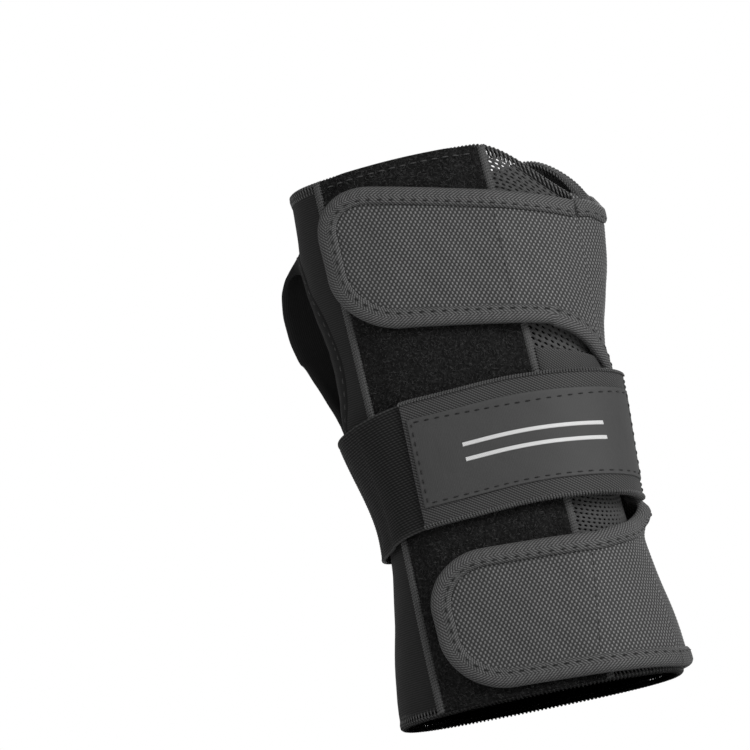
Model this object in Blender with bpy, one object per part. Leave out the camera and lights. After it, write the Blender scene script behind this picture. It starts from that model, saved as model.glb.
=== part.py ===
"""Right-hand wrist guard with palm splint, modelled as an assembly of separate cut and sewn pieces.

The guard stands on its forearm hem: +Z points to the fingers, -Y is the back of the hand, +Y the palm,
-X the thumb side and +X the little-finger side. Every piece is laid on the sleeve's outer surface, the
skin, by three numbers in millimetres: a distance round the sleeve, a height, and a lift off the skin.
"""

import functools
import math

import bpy
import numpy as np
from mathutils import Matrix, Vector

MM = 0.001
GAP = 0.3  # clearance between pieces that touch

# Sleeve
SLEEVE_TOP = 190.0  # top edge of the sewn panels, under the finger hem
SLEEVE_BOTTOM = 2.0
# The sleeve's half width, by height
HALF_WIDTHS = [(0.0, 49.6), (66.0, 41.2), (110.0, 46.2), (162.0, 52.0), (193.0, 50.4)]
HALF_DEPTHS = [(0.0, 31.0), (80.0, 27.6), (150.0, 27.4), (193.0, 26.0)]
CENTRE_SHIFTS = [(0.0, 3.2), (66.0, 3.3), (110.0, 0.5), (162.0, 3.8), (193.0, 3.2)]  # to the little finger
CENTRE_X = -0.62
CENTRE_Y = 1.12
ROUNDNESS = 2.5  # exponent of the superellipse that the sleeve's section is
SECTION_SAMPLES = 1440
RING_STEPS = 48
ROW_STEP = 15.0
COLUMN_STEP = 4.9
EDGE_STEP = 5.0  # along the bound edges
YOKE_ROW_STEP = 13.5
SLEEVE_THICKNESS = 3.0
HEM_THICKNESS = 3.6
HEM_HEIGHT = 1.7
HEM_RISE = 0.9  # the finger hem stands this far above the panels' top edges
HEM_BEVEL = 0.4
HEM_INSET = 0.1  # keeps the hems clear of what lies on the skin
ULNAR_DIP = 24.0  # how far the top edge drops on the little-finger side
DIP_CENTRE = 74.0
DIP_HALF_SPAN = 40.0
BACK_RISE = 1.0  # how far it rises on the back of the hand
BACK_RISE_CENTRE = 131.0
BACK_RISE_HALF_SPAN = 42.0

# Seams, as distances round the sleeve: from the palm's centre line, or from the loop panel's centre line
PALM_SEAM_THUMB = -35.0
PALM_SEAM_ULNAR = 44.0
GUSSET_EDGE_ULNAR = 68.0
GUSSET_THICKNESS = 1.5

# Loop panel and the splint behind it. Its centre line slants towards the thumb side as it rises
LOOP_CENTRE = -6.0  # from the back's centre line, at half height
LOOP_SLANT = -0.03
LOOP_EDGES = (-27.4, 28.8)  # on the thumb side and the little-finger side
LOOP_THICKNESS = 1.7
LOOP_BOTTOM = 0.5
LOOP_OVERHANG = 1.5  # how far the loop panel runs past the sewn panels at its top
LOOP_EDGE_WIDTH = 2.0
LOOP_EDGE_THICKNESS = 2.1
BACK_SPLINT_WIDTH = 34.0
BACK_SPLINT_THICKNESS = 1.2
BACK_SPLINT_HEIGHTS = (26.0, 168.0)
CROWN_SLOPE = 6.0  # width over which a cover rises onto the splint under it

# Palm leather and splint
LEATHER_WIDTH = 79.0
LEATHER_HEIGHTS = (1.0, 190.5)
LEATHER_THICKNESS = 1.5
SPLINT_WIDTH = 38.0
SPLINT_THICKNESS = 2.0
SPLINT_HEIGHTS = (30.0, 178.0)
SPLINT_CORNER = 9.0
SPLINT_COLUMNS = 8
SPLINT_BOW = 5.2
BOW_CENTRE = 130.0
BOW_HALF_SPAN = 30.0
BOW_ROW_GAP = 1.0  # the splint's rows are at least this far apart
SLIT_WIDTH = 43.0
SLIT_OPENING = 5.0
SLIT_HEIGHTS = (25.0, 86.0, 150.0)  # insertion slit, hidden slit under the elastic, upper slit
POCKET_TOP = 180.5

# Linings and foam
LINING_THICKNESS = 0.7
LINING_GAP = 0.45  # between the lining or foam and the sleeve
LINING_MARGIN = 1.0
FOAM_THICKNESS = 2.4
FOAM_WIDTH = 56.0
FOAM_HEIGHTS = (22.0, 168.0)

# Thumb hole
THUMB_HOLE_CENTRE = (-61.0, 134.5)
THUMB_HOLE_HALF = (12.5, 31.0)
THUMB_HOLE_POINT = 1.55  # exponent of the leaf-shaped opening
FACING_WIDTH = 7.0
FACING_THICKNESS = 3.2
FACING_CROWN = 0.4
FACING_ROUNDING = 0.8
LIP_REACH = Vector((-15.0, -2.5, 0.0))  # how far the palm-side lip is pushed out of the sleeve, at most
LIP_TURN = 25.0  # the lip's widest point is this many degrees above the middle of the hole
LIP_POWER = 1.5
FACING_STEPS = 44
CUTTER_REACH = 10.0

# Yoke and straps
STRAP_ROOT = 54.0
STRAP_THICKNESS = 1.6
YOKE_EDGE = 56.8
YOKE_THICKNESS = 1.4
YOKE_CUT_DEPTH = 10.4
YOKE_CUT_HEIGHTS = (53.5, 121.5)
YOKE_CUT_POWER = 3.5
YOKE_FLAT = 18.0  # width of the yoke, from its edge, that lies as high as the straps' roots
YOKE_SLOPE = 10.0  # width over which it then comes down to the skin
YOKE_COLUMNS = 8
HINGE_OFFSET = 0.4
ROOT_LIFT = 2.5  # lift of the strap's middle at its root
UPPER_STRAP_HALF = 25.3  # at the loop panel's centre line
UPPER_STRAP_TAPER = -0.0415  # change of its half width for each millimetre across
UPPER_STRAP_TIP = -30.0
UPPER_STRAP_MIDDLE = 156.3  # height of its middle at the loop panel's centre line
UPPER_STRAP_SLOPE = -0.2115
LOWER_STRAP_HALF = 24.5
LOWER_STRAP_TIP = -22.0
LOWER_STRAP_MIDDLE = 27.9
LOWER_STRAP_SLOPE = -0.044
STRAP_CORNER = 20.0
STRAP_ROWS = 5
CORNER_STEPS = 5
HOOK_THICKNESS = 1.2
HOOK_INSET = 8.5
HOOK_ROOT = 26.0
HOOK_ROWS = 4

# Binding tape
TAPE_WIDTH = 6.5
TAPE_THICKNESS = 0.6
TAPE_GAP = 0.5  # between the cloth and the tape on either side of it
TAPE_EDGE = 1.2  # the cloth's edge lies this far inside the tape's fold

# Elastic wrist strap
ELASTIC_THICKNESS = 1.5
ELASTIC_HALF_HEIGHT = 22.0
ELASTIC_START = 43.4
TAB_ROOT = -35.1
TAB_ROOT_LIFT = 2.4
TAB_TIP = 63.0
BAND_END = -39.3
TAB_HINGE_BACK = 0.5
TAB_RISE = 10.0  # width over which the tab rises onto the loop panel
TAB_COVER_ROOT = -17.0
TAB_COVER_THICKNESS = 0.9
LABEL_SPAN = (-15.0, 60.0)
LABEL_HALF_HEIGHT = 15.5
LABEL_THICKNESS = 0.6
TAB_HOOK_SPAN = (-16.0, 26.0)
TAB_HOOK_THICKNESS = 1.0
TAB_HOOK_INSET = 3.0
BAND_HEIGHTS = [(-44.0, 84.5), (0.0, 84.5), (61.0, 80.5), (98.0, 85.5), (128.0, 86.5), (180.0, 83.5)]
BAND_LIFTS = [(0.0, 5.3), (20.0, 5.2), (26.0, 4.6), (38.0, 2.6), (43.0, 1.5), (76.0, 2.0)]

# Tape across the gusset
GUSSET_TAPE_SPAN = (32.0, 64.0)
GUSSET_TAPE_HEIGHT = 113.5
GUSSET_TAPE_SLOPE = -0.22
GUSSET_TAPE_HALF = 4.2
GUSSET_TAPE_THICKNESS = 0.9


# ---------------------------------------------------------------- surface

def eased(x, stations):
    """Value at x of a curve that eases from each station to the next."""
    xs = [p[0] for p in stations]
    x = min(max(x, xs[0]), xs[-1])
    i = max(k for k in range(len(xs) - 1) if xs[k] <= x)
    t = (x - xs[i]) / (xs[i + 1] - xs[i])
    return stations[i][1] + (stations[i + 1][1] - stations[i][1]) * t * t * (3 - 2 * t)


def straight(x, stations):
    """Value at x of straight runs between stations."""
    return float(np.interp(x, [p[0] for p in stations], [p[1] for p in stations]))


@functools.lru_cache(maxsize=None)
def section(z):
    """The sleeve's outline at height z: distance from the palm's centre line, x, y, and half sizes."""
    a = eased(z, HALF_WIDTHS)
    b = eased(z, HALF_DEPTHS)
    angle = np.linspace(-math.pi, math.pi, SECTION_SAMPLES + 1)
    x = a * np.sign(np.sin(angle)) * np.abs(np.sin(angle)) ** (2 / ROUNDNESS)
    y = b * np.sign(np.cos(angle)) * np.abs(np.cos(angle)) ** (2 / ROUNDNESS)
    run = np.concatenate([[0], np.cumsum(np.hypot(np.diff(x), np.diff(y)))])
    return run - run[-1] / 2, x, y, a, b


def half_girth(z):
    """Half of the distance round the sleeve at height z."""
    return float(section(round(z, 4))[0][-1])


def skin(around, z, lift):
    """The point at a distance round from the palm's centre line, a height, and a lift off the skin."""
    run, xs, ys, a, b = section(round(z, 4))
    half = run[-1]
    around = (around + half) % (2 * half) - half
    x = float(np.interp(around, run, xs))
    y = float(np.interp(around, run, ys))
    n = Vector((
        math.copysign(abs(x / a) ** (ROUNDNESS - 1) / a, x),
        math.copysign(abs(y / b) ** (ROUNDNESS - 1) / b, y),
        0,
    )).normalized()
    return Vector((CENTRE_X + eased(z, CENTRE_SHIFTS) + x, CENTRE_Y + y, z)) + n * lift


def from_loop_line(across, z):
    """The distance round from the palm's centre line of a point this far across from the loop panel's centre
    line, towards the little finger."""
    loop_line = LOOP_CENTRE + LOOP_SLANT * (z - SLEEVE_TOP / 2) - eased(z, CENTRE_SHIFTS)
    return half_girth(z) - loop_line - across


def on_back(across, z, lift):
    """The point at a distance across from the loop panel's centre line, a height and a lift off the skin."""
    return skin(from_loop_line(across, z), z, lift)


def bump(around, centre, half_span):
    """1 at a place round the sleeve's top, falling to 0 this far from it."""
    half = half_girth(SLEEVE_TOP)
    t = ((around - centre + half) % (2 * half) - half) / half_span
    return math.cos(t * math.pi / 2) ** 2 if abs(t) < 1 else 0


def top_edge(around):
    """Height of the sleeve's top edge, which drops on the little-finger side and rises on the back."""
    dip = ULNAR_DIP * bump(around, DIP_CENTRE, DIP_HALF_SPAN)
    return SLEEVE_TOP - dip + BACK_RISE * bump(around, BACK_RISE_CENTRE, BACK_RISE_HALF_SPAN)


def steps(start, end, step):
    """Evenly spaced values from start to end, about a step apart."""
    return [float(v) for v in np.linspace(start, end, max(2, round((end - start) / step) + 1))]


def crown(distance, half_width):
    """1 over a splint of this half width, falling to 0 beside it."""
    t = min(max((abs(distance) - half_width) / CROWN_SLOPE, 0), 1)
    return 1 - t * t * (3 - 2 * t)


# ---------------------------------------------------------------- solids

def make_object(name, points, faces, material, smooth_angle=40):
    """An object of its own from points in millimetres and faces."""
    mesh = bpy.data.meshes.new(name)
    mesh.from_pydata([Vector(p) * MM for p in points], [], faces)
    mesh.update()
    mesh.shade_smooth()
    mesh.set_sharp_from_angle(angle=math.radians(smooth_angle))
    mesh.materials.append(material)
    obj = bpy.data.objects.new(name, mesh)
    bpy.context.scene.collection.objects.link(obj)
    return obj


def sheet_solid(name, material, columns, rows, inner, outer, missing=lambda i, j: False):
    """A closed solid between two surfaces, inner(i, j) and outer(i, j), on a grid with missing cells."""
    count = columns * rows
    points = [outer(i, j) for i in range(columns) for j in range(rows)]
    points += [inner(i, j) for i in range(columns) for j in range(rows)]
    kept = {(i, j) for i in range(columns - 1) for j in range(rows - 1) if not missing(i, j)}
    faces = []
    for i, j in sorted(kept):
        a, b, c, d = i * rows + j, (i + 1) * rows + j, (i + 1) * rows + j + 1, i * rows + j + 1
        faces.append((a, b, c, d))
        faces.append((d + count, c + count, b + count, a + count))
        for near, p, q in (((i, j - 1), a, b), ((i + 1, j), b, c), ((i, j + 1), c, d), ((i - 1, j), d, a)):
            if near not in kept:
                faces.append((q, p, p + count, q + count))
    used = sorted({k for f in faces for k in f})
    renumbered = {k: n for n, k in enumerate(used)}
    faces = [tuple(renumbered[k] for k in f) for f in faces]
    return outward(make_object(name, [points[k] for k in used], faces, material))


def swept_solid(name, material, profiles, closed):
    """A closed solid through a row of like outlines; closed joins the last to the first."""
    size = len(profiles[0])
    points = [p for profile in profiles for p in profile]
    faces = []
    for i in range(len(profiles) if closed else len(profiles) - 1):
        here, there = i * size, (i + 1) % len(profiles) * size
        for k in range(size):
            m = (k + 1) % size
            faces.append((here + k, there + k, there + m, here + m))
    if not closed:
        faces.append(tuple(range(size)))
        faces.append(tuple(reversed(range(len(points) - size, len(points)))))
    return outward(make_object(name, points, faces, material))


def outward(obj):
    """Turns the faces outwards if the solid is inside out."""
    volume = 0
    for face in obj.data.polygons:
        corners = [obj.data.vertices[k].co for k in face.vertices]
        for k in range(1, len(corners) - 1):
            volume += corners[0].dot(corners[k].cross(corners[k + 1]))
    if volume < 0:
        obj.data.flip_normals()
    return obj


def panel(name, material, around, heights, lifts):
    """A panel round part of the sleeve. around(z) gives its two edges, measured from the palm's centre line;
    heights(s) its lowest and highest point at s; lifts(s, z) its inner and outer lift."""
    near_top = SLEEVE_TOP - ULNAR_DIP / 2
    low, high = around(near_top)
    columns = len(steps(low, high, 2 * half_girth(near_top) / RING_STEPS))
    rows = len(steps(*heights((low + high) / 2), ROW_STEP))

    def place(i, j, side):
        bottom, top = heights(low + (high - low) * i / (columns - 1))
        z = bottom + (top - bottom) * j / (rows - 1)
        s0, s1 = around(z)
        s = s0 + (s1 - s0) * i / (columns - 1)
        return skin(s, z, lifts(s, z)[side])

    return sheet_solid(name, material, columns, rows,
                       lambda i, j: place(i, j, 0), lambda i, j: place(i, j, 1))


def strip(name, material, xs, edges, lifts, rows, place):
    """A strip along xs. edges(x) gives its low and high edge, lifts(x, z) its inner and outer lift."""
    def point(i, j, side):
        low, high = edges(xs[i])
        z = low + (high - low) * j / (rows - 1)
        return place(xs[i], z, lifts(xs[i], z)[side])

    return sheet_solid(name, material, len(xs), rows,
                       lambda i, j: point(i, j, 0), lambda i, j: point(i, j, 1))


def tape_profile(cloth_thickness):
    """Section of a tape folded over an edge: (distance in from the fold, height off the cloth's middle)."""
    slot = cloth_thickness / 2 + TAPE_GAP
    out = slot + TAPE_THICKNESS
    half = [(TAPE_WIDTH, out), (TAPE_THICKNESS, out), (0, slot)]
    hollow = [(TAPE_WIDTH, -slot), (TAPE_THICKNESS, -slot), (TAPE_THICKNESS, slot), (TAPE_WIDTH, slot)]
    return half + [(u, -h) for u, h in reversed(half)] + hollow


def binding(name, material, outline, middle_lift, cloth_thickness):
    """A tape folded over an open edge. outline is (across, height) points with the cloth on their left."""
    outline = [Vector(p) for p in outline]
    profiles = []
    for i, point in enumerate(outline):
        along = (outline[min(i + 1, len(outline) - 1)] - outline[max(i - 1, 0)]).normalized()
        inward = Vector((-along.y, along.x))
        profile = []
        for u, h in tape_profile(cloth_thickness):
            p = point + inward * u
            profile.append(on_back(p.x, p.y, middle_lift(p.x) + h))
        profiles.append(profile)
    return swept_solid(name, material, profiles, closed=False)


# ---------------------------------------------------------------- materials

def make_material(name, grey, roughness, metallic=0.0, tint=(1.0, 1.0, 1.0)):
    """A Principled material of one grey."""
    material = bpy.data.materials.new(name)
    material.use_nodes = True
    shader = material.node_tree.nodes["Principled BSDF"]
    shader.inputs["Base Color"].default_value = (grey * tint[0], grey * tint[1], grey * tint[2], 1)
    shader.inputs["Roughness"].default_value = roughness
    shader.inputs["Metallic"].default_value = metallic
    return material


def make_materials():
    """The guard's materials by name: (linear grey, roughness)."""
    looks = {
        "neoprene": (0.022, 0.85),
        "loop_velour": (0.014, 0.95),
        "overlock_thread": (0.075, 0.8),
        "mesh_knit": (0.03, 0.8),
        "ballistic_nylon": (0.07, 0.65),
        "binding_tape": (0.065, 0.7),
        "elastic_knit": (0.027, 0.8),
        "twill_tape": (0.06, 0.75),
        "label_satin": (0.05, 0.5),
        "hook_tape": (0.02, 0.6),
        "synthetic_leather": (0.13, 0.45),
        "splint_plastic": (0.015, 0.25),
        "foam": (0.05, 0.9),
        "lining_jersey": (0.012, 0.9),
    }
    return {name: make_material(name, *look) for name, look in looks.items()}


# ---------------------------------------------------------------- sleeve

def sleeve_heights(s):
    return SLEEVE_BOTTOM, top_edge(s)


def build_sleeve(mat):
    """The sewn tube: palm, thumb side, back, mesh gusset and little-finger side, side by side."""
    thumb_edge, ulnar_edge = LOOP_EDGES

    def laminate(s, z):
        return -SLEEVE_THICKNESS, 0.0

    def mesh_lifts(s, z):
        return -GUSSET_THICKNESS, 0.0

    panel("palm_body_panel", mat["neoprene"],
          lambda z: (PALM_SEAM_THUMB, PALM_SEAM_ULNAR), sleeve_heights, laminate)
    panel("dorsal_body_panel", mat["neoprene"],
          lambda z: (from_loop_line(ulnar_edge, z), from_loop_line(thumb_edge, z)),
          sleeve_heights, laminate)
    panel("mesh_gusset", mat["mesh_knit"],
          lambda z: (from_loop_line(GUSSET_EDGE_ULNAR, z), from_loop_line(ulnar_edge + GAP, z)),
          sleeve_heights, mesh_lifts)
    panel("ulnar_body_panel", mat["neoprene"],
          lambda z: (PALM_SEAM_ULNAR + GAP, from_loop_line(GUSSET_EDGE_ULNAR + GAP, z)),
          sleeve_heights, laminate)
    thumb_side = panel("thumb_side_panel", mat["neoprene"],
                       lambda z: (from_loop_line(thumb_edge - GAP, z) - 2 * half_girth(z),
                                  PALM_SEAM_THUMB - GAP),
                       sleeve_heights, laminate)
    cutter = thumb_hole_cutter(mat["neoprene"])
    cut = thumb_side.modifiers.new("thumb_hole", "BOOLEAN")
    cut.operation = "DIFFERENCE"
    cut.object = cutter


def thumb_hole_point(angle, margin):
    """A point of the leaf-shaped outline, this far outside the opening: (around, height)."""
    power = 2 / THUMB_HOLE_POINT
    c, s = math.cos(angle), math.sin(angle)
    x = THUMB_HOLE_HALF[0] * math.copysign(abs(c) ** power, c)
    z = THUMB_HOLE_HALF[1] * math.copysign(abs(s) ** power, s)
    outward_normal = Vector((x / THUMB_HOLE_HALF[0] ** 2, z / THUMB_HOLE_HALF[1] ** 2)).normalized()
    return (THUMB_HOLE_CENTRE[0] + x + outward_normal.x * margin,
            THUMB_HOLE_CENTRE[1] + z + outward_normal.y * margin)


def thumb_hole_cutter(material):
    """The solid that cuts the thumb hole and the room for its facing out of the thumb side."""
    loops = []
    for lift in (-CUTTER_REACH, CUTTER_REACH):
        loops.append([])
        for k in range(FACING_STEPS):
            s, z = thumb_hole_point(2 * math.pi * k / FACING_STEPS, FACING_WIDTH + 2 * GAP)
            loops[-1].append(skin(s, z, lift))
    middles = [skin(*THUMB_HOLE_CENTRE, lift) for lift in (-CUTTER_REACH, CUTTER_REACH)]
    points = loops[0] + loops[1] + middles
    faces = []
    for k in range(FACING_STEPS):
        m = (k + 1) % FACING_STEPS
        faces.append((k, m, FACING_STEPS + m, FACING_STEPS + k))
        faces.append((m, k, 2 * FACING_STEPS))
        faces.append((FACING_STEPS + k, FACING_STEPS + m, 2 * FACING_STEPS + 1))
    cutter = outward(make_object("thumb_hole_cutter", points, faces, material))
    cutter.hide_render = True
    cutter.display_type = "WIRE"
    return cutter


def build_thumb_facing(mat):
    """The turned facing round the thumb hole, whose palm side stands off as a lip."""
    corners = [  # (distance out from the opening, lift)
        (FACING_ROUNDING, 0.0),
        (0.0, -FACING_THICKNESS / 2),
        (FACING_ROUNDING, -FACING_THICKNESS),
        (FACING_WIDTH / 2, -FACING_THICKNESS),
        (FACING_WIDTH, -SLEEVE_THICKNESS),
        (FACING_WIDTH, 0.0),
        (FACING_WIDTH / 2, FACING_CROWN),
    ]
    profiles = []
    for k in range(FACING_STEPS):
        angle = 2 * math.pi * k / FACING_STEPS
        push = max(0, math.cos(angle - math.radians(LIP_TURN))) ** LIP_POWER
        profile = []
        for margin, lift in corners:
            s, z = thumb_hole_point(angle, margin)
            profile.append(skin(s, z, lift) + LIP_REACH * push * (1 - margin / FACING_WIDTH))
        profiles.append(profile)
    return swept_solid("thumb_hole_facing", mat["neoprene"], profiles, closed=True)


def build_hems(mat):
    """The overlocked rings on the sleeve's top and bottom edges."""
    near_top = SLEEVE_TOP - ULNAR_DIP / 2
    hems = [
        ("finger_hem", lambda s: top_edge(s) + HEM_RISE, HEM_BEVEL),
        ("forearm_hem", lambda s: 0.0, 0.0),
    ]
    for name, edge_height, bevel in hems:
        profiles = []
        for k in range(RING_STEPS):
            share = 2 * k / RING_STEPS - 1
            z = edge_height(share * half_girth(near_top))
            s = share * half_girth(z)
            top = z + HEM_HEIGHT
            profiles.append([
                skin(s, z, -HEM_THICKNESS),
                skin(s, z, -HEM_INSET),
                skin(s, top - bevel, -HEM_INSET),
                skin(s, top, -2 * HEM_INSET - bevel),
                skin(s, top, -HEM_THICKNESS),
            ])
        swept_solid(name, mat["overlock_thread"], profiles, closed=True)


def build_linings(mat):
    """Smooth lining on the palm and the back, and the foam pad behind the palm lining."""
    foam_out = -SLEEVE_THICKNESS - LINING_GAP
    foam_in = foam_out - FOAM_THICKNESS

    def palm_lifts(s, z):
        out = foam_out - (FOAM_THICKNESS + GAP) * crown(s, FOAM_WIDTH / 2 + CROWN_SLOPE)
        return out - LINING_THICKNESS, out

    def back_lifts(s, z):
        return foam_out - LINING_THICKNESS, foam_out

    def lining_heights(s):
        return SLEEVE_BOTTOM + 2 * LINING_MARGIN, top_edge(s) - LINING_MARGIN

    thumb_edge, ulnar_edge = LOOP_EDGES
    panel("palm_lining", mat["lining_jersey"],
          lambda z: (PALM_SEAM_THUMB + LINING_MARGIN, PALM_SEAM_ULNAR - LINING_MARGIN),
          lining_heights, palm_lifts)
    panel("dorsal_lining", mat["lining_jersey"],
          lambda z: (from_loop_line(ulnar_edge - LINING_MARGIN, z),
                     from_loop_line(thumb_edge + LINING_MARGIN, z)),
          lining_heights, back_lifts)
    panel("palm_foam_pad", mat["foam"], lambda z: (-FOAM_WIDTH / 2, FOAM_WIDTH / 2),
          lambda s: FOAM_HEIGHTS, lambda s, z: (foam_in, foam_out))


# ---------------------------------------------------------------- back of the hand

def loop_lift(across):
    """Outer lift of the loop panel, which is crowned over the back splint."""
    rise = (BACK_SPLINT_THICKNESS + GAP) * crown(across, BACK_SPLINT_WIDTH / 2 + GAP)
    return GAP + LOOP_THICKNESS + rise


def build_loop_panel(mat):
    """The velour landing for the straps, its two overlocked edges and the splint in the pocket behind it."""
    thumb_edge, ulnar_edge = LOOP_EDGES

    def back_strip(name, material, xs, heights, lifts):
        rows = len(steps(*heights(xs[0]), ROW_STEP))
        strip(name, mat[material], xs, heights, lifts, rows, on_back)

    def full(x):
        return LOOP_BOTTOM, top_edge(from_loop_line(x, SLEEVE_TOP)) + LOOP_OVERHANG

    half = BACK_SPLINT_WIDTH / 2
    flat = steps(-half - GAP, half + GAP, COLUMN_STEP)
    slope = steps(half + GAP, half + GAP + CROWN_SLOPE, CROWN_SLOPE / 2)[1:]
    xs = [thumb_edge] + [-x for x in reversed(slope)] + flat + slope + [ulnar_edge]
    back_strip("loop_panel", "loop_velour", xs, full,
               lambda x, z: (loop_lift(x) - LOOP_THICKNESS, loop_lift(x)))
    back_strip("dorsal_splint", "splint_plastic", steps(-half, half, COLUMN_STEP),
               lambda x: BACK_SPLINT_HEIGHTS, lambda x, z: (GAP, GAP + BACK_SPLINT_THICKNESS))
    edges = [
        ("loop_edge_thumb", thumb_edge - GAP - LOOP_EDGE_WIDTH),
        ("loop_edge_ulnar", ulnar_edge + GAP),
    ]
    for name, low in edges:
        back_strip(name, "overlock_thread", [low, low + LOOP_EDGE_WIDTH], full,
                   lambda x, z: (GAP, GAP + LOOP_EDGE_THICKNESS))


def yoke_edge(z):
    """Where the yoke's edge lies across the back: it is cut back in a C between the two straps."""
    low, high = YOKE_CUT_HEIGHTS
    t = (z - low) / (high - low)
    return YOKE_EDGE + (YOKE_CUT_DEPTH * (1 - abs(2 * t - 1) ** YOKE_CUT_POWER) if 0 < t < 1 else 0)


def yoke_middle_lift(across):
    """Lift of the yoke's middle, which rises from the palm seam to the straps' roots."""
    flat_end = YOKE_EDGE + YOKE_FLAT
    on_skin = 2 * GAP + YOKE_THICKNESS / 2
    return straight(across, [(flat_end, ROOT_LIFT), (flat_end + YOKE_SLOPE, on_skin)])


def build_yoke(mat):
    """The woven panel on the little-finger side that carries both straps, with its bound C edge."""
    low, high = YOKE_CUT_HEIGHTS
    heights = steps(SLEEVE_BOTTOM + LINING_MARGIN, low, YOKE_ROW_STEP)
    heights += steps(low, high, EDGE_STEP)[1:]
    heights += steps(high, SLEEVE_TOP - EDGE_STEP, YOKE_ROW_STEP)[1:]

    def across_to(share, z):
        edge = yoke_edge(z) + (TAPE_EDGE if low < z < high else 0)
        seam = PALM_SEAM_ULNAR + GAP
        return seam + (from_loop_line(edge, z) - seam) * share

    def place(i, j, side):
        share = i / (YOKE_COLUMNS - 1)
        z = heights[j]
        if z > high:
            room = top_edge(across_to(share, z)) + LINING_MARGIN - high
            z = high + (z - high) * min(1, room / (heights[-1] - high))
        s = across_to(share, z)
        middle = yoke_middle_lift(from_loop_line(s, z))
        return skin(s, z, middle + (side - 0.5) * YOKE_THICKNESS)

    sheet_solid("ulnar_yoke", mat["ballistic_nylon"], YOKE_COLUMNS, len(heights),
                lambda i, j: place(i, j, 0), lambda i, j: place(i, j, 1))
    edge = [(yoke_edge(z), z) for z in steps(high - TAPE_WIDTH, low + TAPE_WIDTH, -EDGE_STEP)]
    binding("yoke_binding", mat["binding_tape"], edge, yoke_middle_lift, YOKE_THICKNESS + GAP)


def build_gusset_tape(mat):
    """The short woven tape that crosses the mesh gusset above the wrist."""
    xs = steps(*GUSSET_TAPE_SPAN, COLUMN_STEP)

    def edges(x):
        middle = GUSSET_TAPE_HEIGHT + GUSSET_TAPE_SLOPE * (x - GUSSET_TAPE_SPAN[0])
        return middle - GUSSET_TAPE_HALF, middle + GUSSET_TAPE_HALF

    strip("gusset_tape", mat["twill_tape"], xs, edges,
          lambda x, z: (2 * GAP, 2 * GAP + GUSSET_TAPE_THICKNESS), 2, on_back)


# ---------------------------------------------------------------- straps

def strap_middle_lift(across):
    """Lift of a strap's middle: low at its root, then over the loop panel with the hook pad between."""
    on_loop = loop_lift(0) + 2 * GAP + HOOK_THICKNESS + STRAP_THICKNESS / 2
    return straight(across, [(LOOP_EDGES[1], on_loop), (STRAP_ROOT, ROOT_LIFT)])


def strap_outline(middle, half, tip):
    """A strap's edge from its root along the top, round the tip and back: (across, height) points."""
    start = tip + STRAP_CORNER
    top = [(x, middle(x) + half(x)) for x in steps(STRAP_ROOT, start, -EDGE_STEP)]
    bottom = [(x, middle(x) - half(x)) for x in steps(start, STRAP_ROOT, EDGE_STEP)]
    corners = []
    for sign, turned in ((1, 0.0), (-1, math.pi / 2)):
        for k in range(1, CORNER_STEPS + 3):
            angle = turned + math.pi / 2 * k / (CORNER_STEPS + 3)
            x = start - STRAP_CORNER * math.sin(angle)
            z = middle(x) + sign * (half(x) - STRAP_CORNER) + STRAP_CORNER * math.cos(angle)
            corners.append((x, z))
    return top + corners + bottom


def strap_columns(start, corner, root):
    """Positions across for a strap's columns: close together in the rounded tip, then even to its root."""
    tip = [start + corner * (1 - math.cos(math.pi / 2 * k / CORNER_STEPS)) for k in range(CORNER_STEPS)]
    return tip + steps(start + corner, root, COLUMN_STEP)


def strap_edges(x, middle, half, tip, inset):
    """The low and high edge of a strap at x, rounded at the tip."""
    radius = STRAP_CORNER - inset
    into_corner = max(0, tip + inset + radius - x)
    drop = radius - math.sqrt(max(0, radius ** 2 - into_corner ** 2))
    reach = half(x) - inset - drop
    return middle(x) - reach, middle(x) + reach


def build_strap(mat, name, middle, half, tip):
    """A woven strap with its folded binding and the hook pad under it. middle(x) is its middle's height,
    and half(x) its half width."""
    def lifts(x, z):
        return strap_middle_lift(x) - STRAP_THICKNESS / 2, strap_middle_lift(x) + STRAP_THICKNESS / 2

    def hook_lifts(x, z):
        out = strap_middle_lift(x) - STRAP_THICKNESS / 2 - GAP
        return out - HOOK_THICKNESS, out

    def edges_inset(inset):
        return lambda x: strap_edges(x, middle, half, tip, inset)

    strap = strip(name, mat["ballistic_nylon"],
                  strap_columns(tip + TAPE_EDGE, STRAP_CORNER - TAPE_EDGE, STRAP_ROOT),
                  edges_inset(TAPE_EDGE), lifts, STRAP_ROWS, on_back)
    tape = binding(name + "_binding", mat["binding_tape"], strap_outline(middle, half, tip),
                   strap_middle_lift, STRAP_THICKNESS)
    hook = strip(name + "_hook", mat["hook_tape"],
                 strap_columns(tip + HOOK_INSET, STRAP_CORNER - HOOK_INSET, HOOK_ROOT),
                 edges_inset(HOOK_INSET), hook_lifts, HOOK_ROWS, on_back)
    low, high = strap_edges(STRAP_ROOT, middle, half, tip, 0)
    across = STRAP_ROOT + HINGE_OFFSET
    start, middle_point, end = (on_back(across, z, ROOT_LIFT) for z in (low, (low + high) / 2, high))
    half_bulge = (middle_point - (start + end) / 2) / 2
    hang_on_hinge(name + "_hinge", start + half_bulge, end + half_bulge, [strap, tape, hook])


def hang_on_hinge(name, start, end, pieces):
    """Parents pieces to an empty whose Z axis is the hinge line from start to end."""
    hinge = bpy.data.objects.new(name, None)
    hinge.empty_display_size = 10 * MM
    bpy.context.scene.collection.objects.link(hinge)
    turn = (end - start).to_track_quat("Z", "Y").to_matrix().to_4x4()
    hinge.matrix_world = Matrix.Translation((start + end) / 2 * MM) @ turn
    for piece in pieces:
        piece.parent = hinge
        piece.matrix_parent_inverse = hinge.matrix_world.inverted()


# ---------------------------------------------------------------- elastic wrist strap

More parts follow.
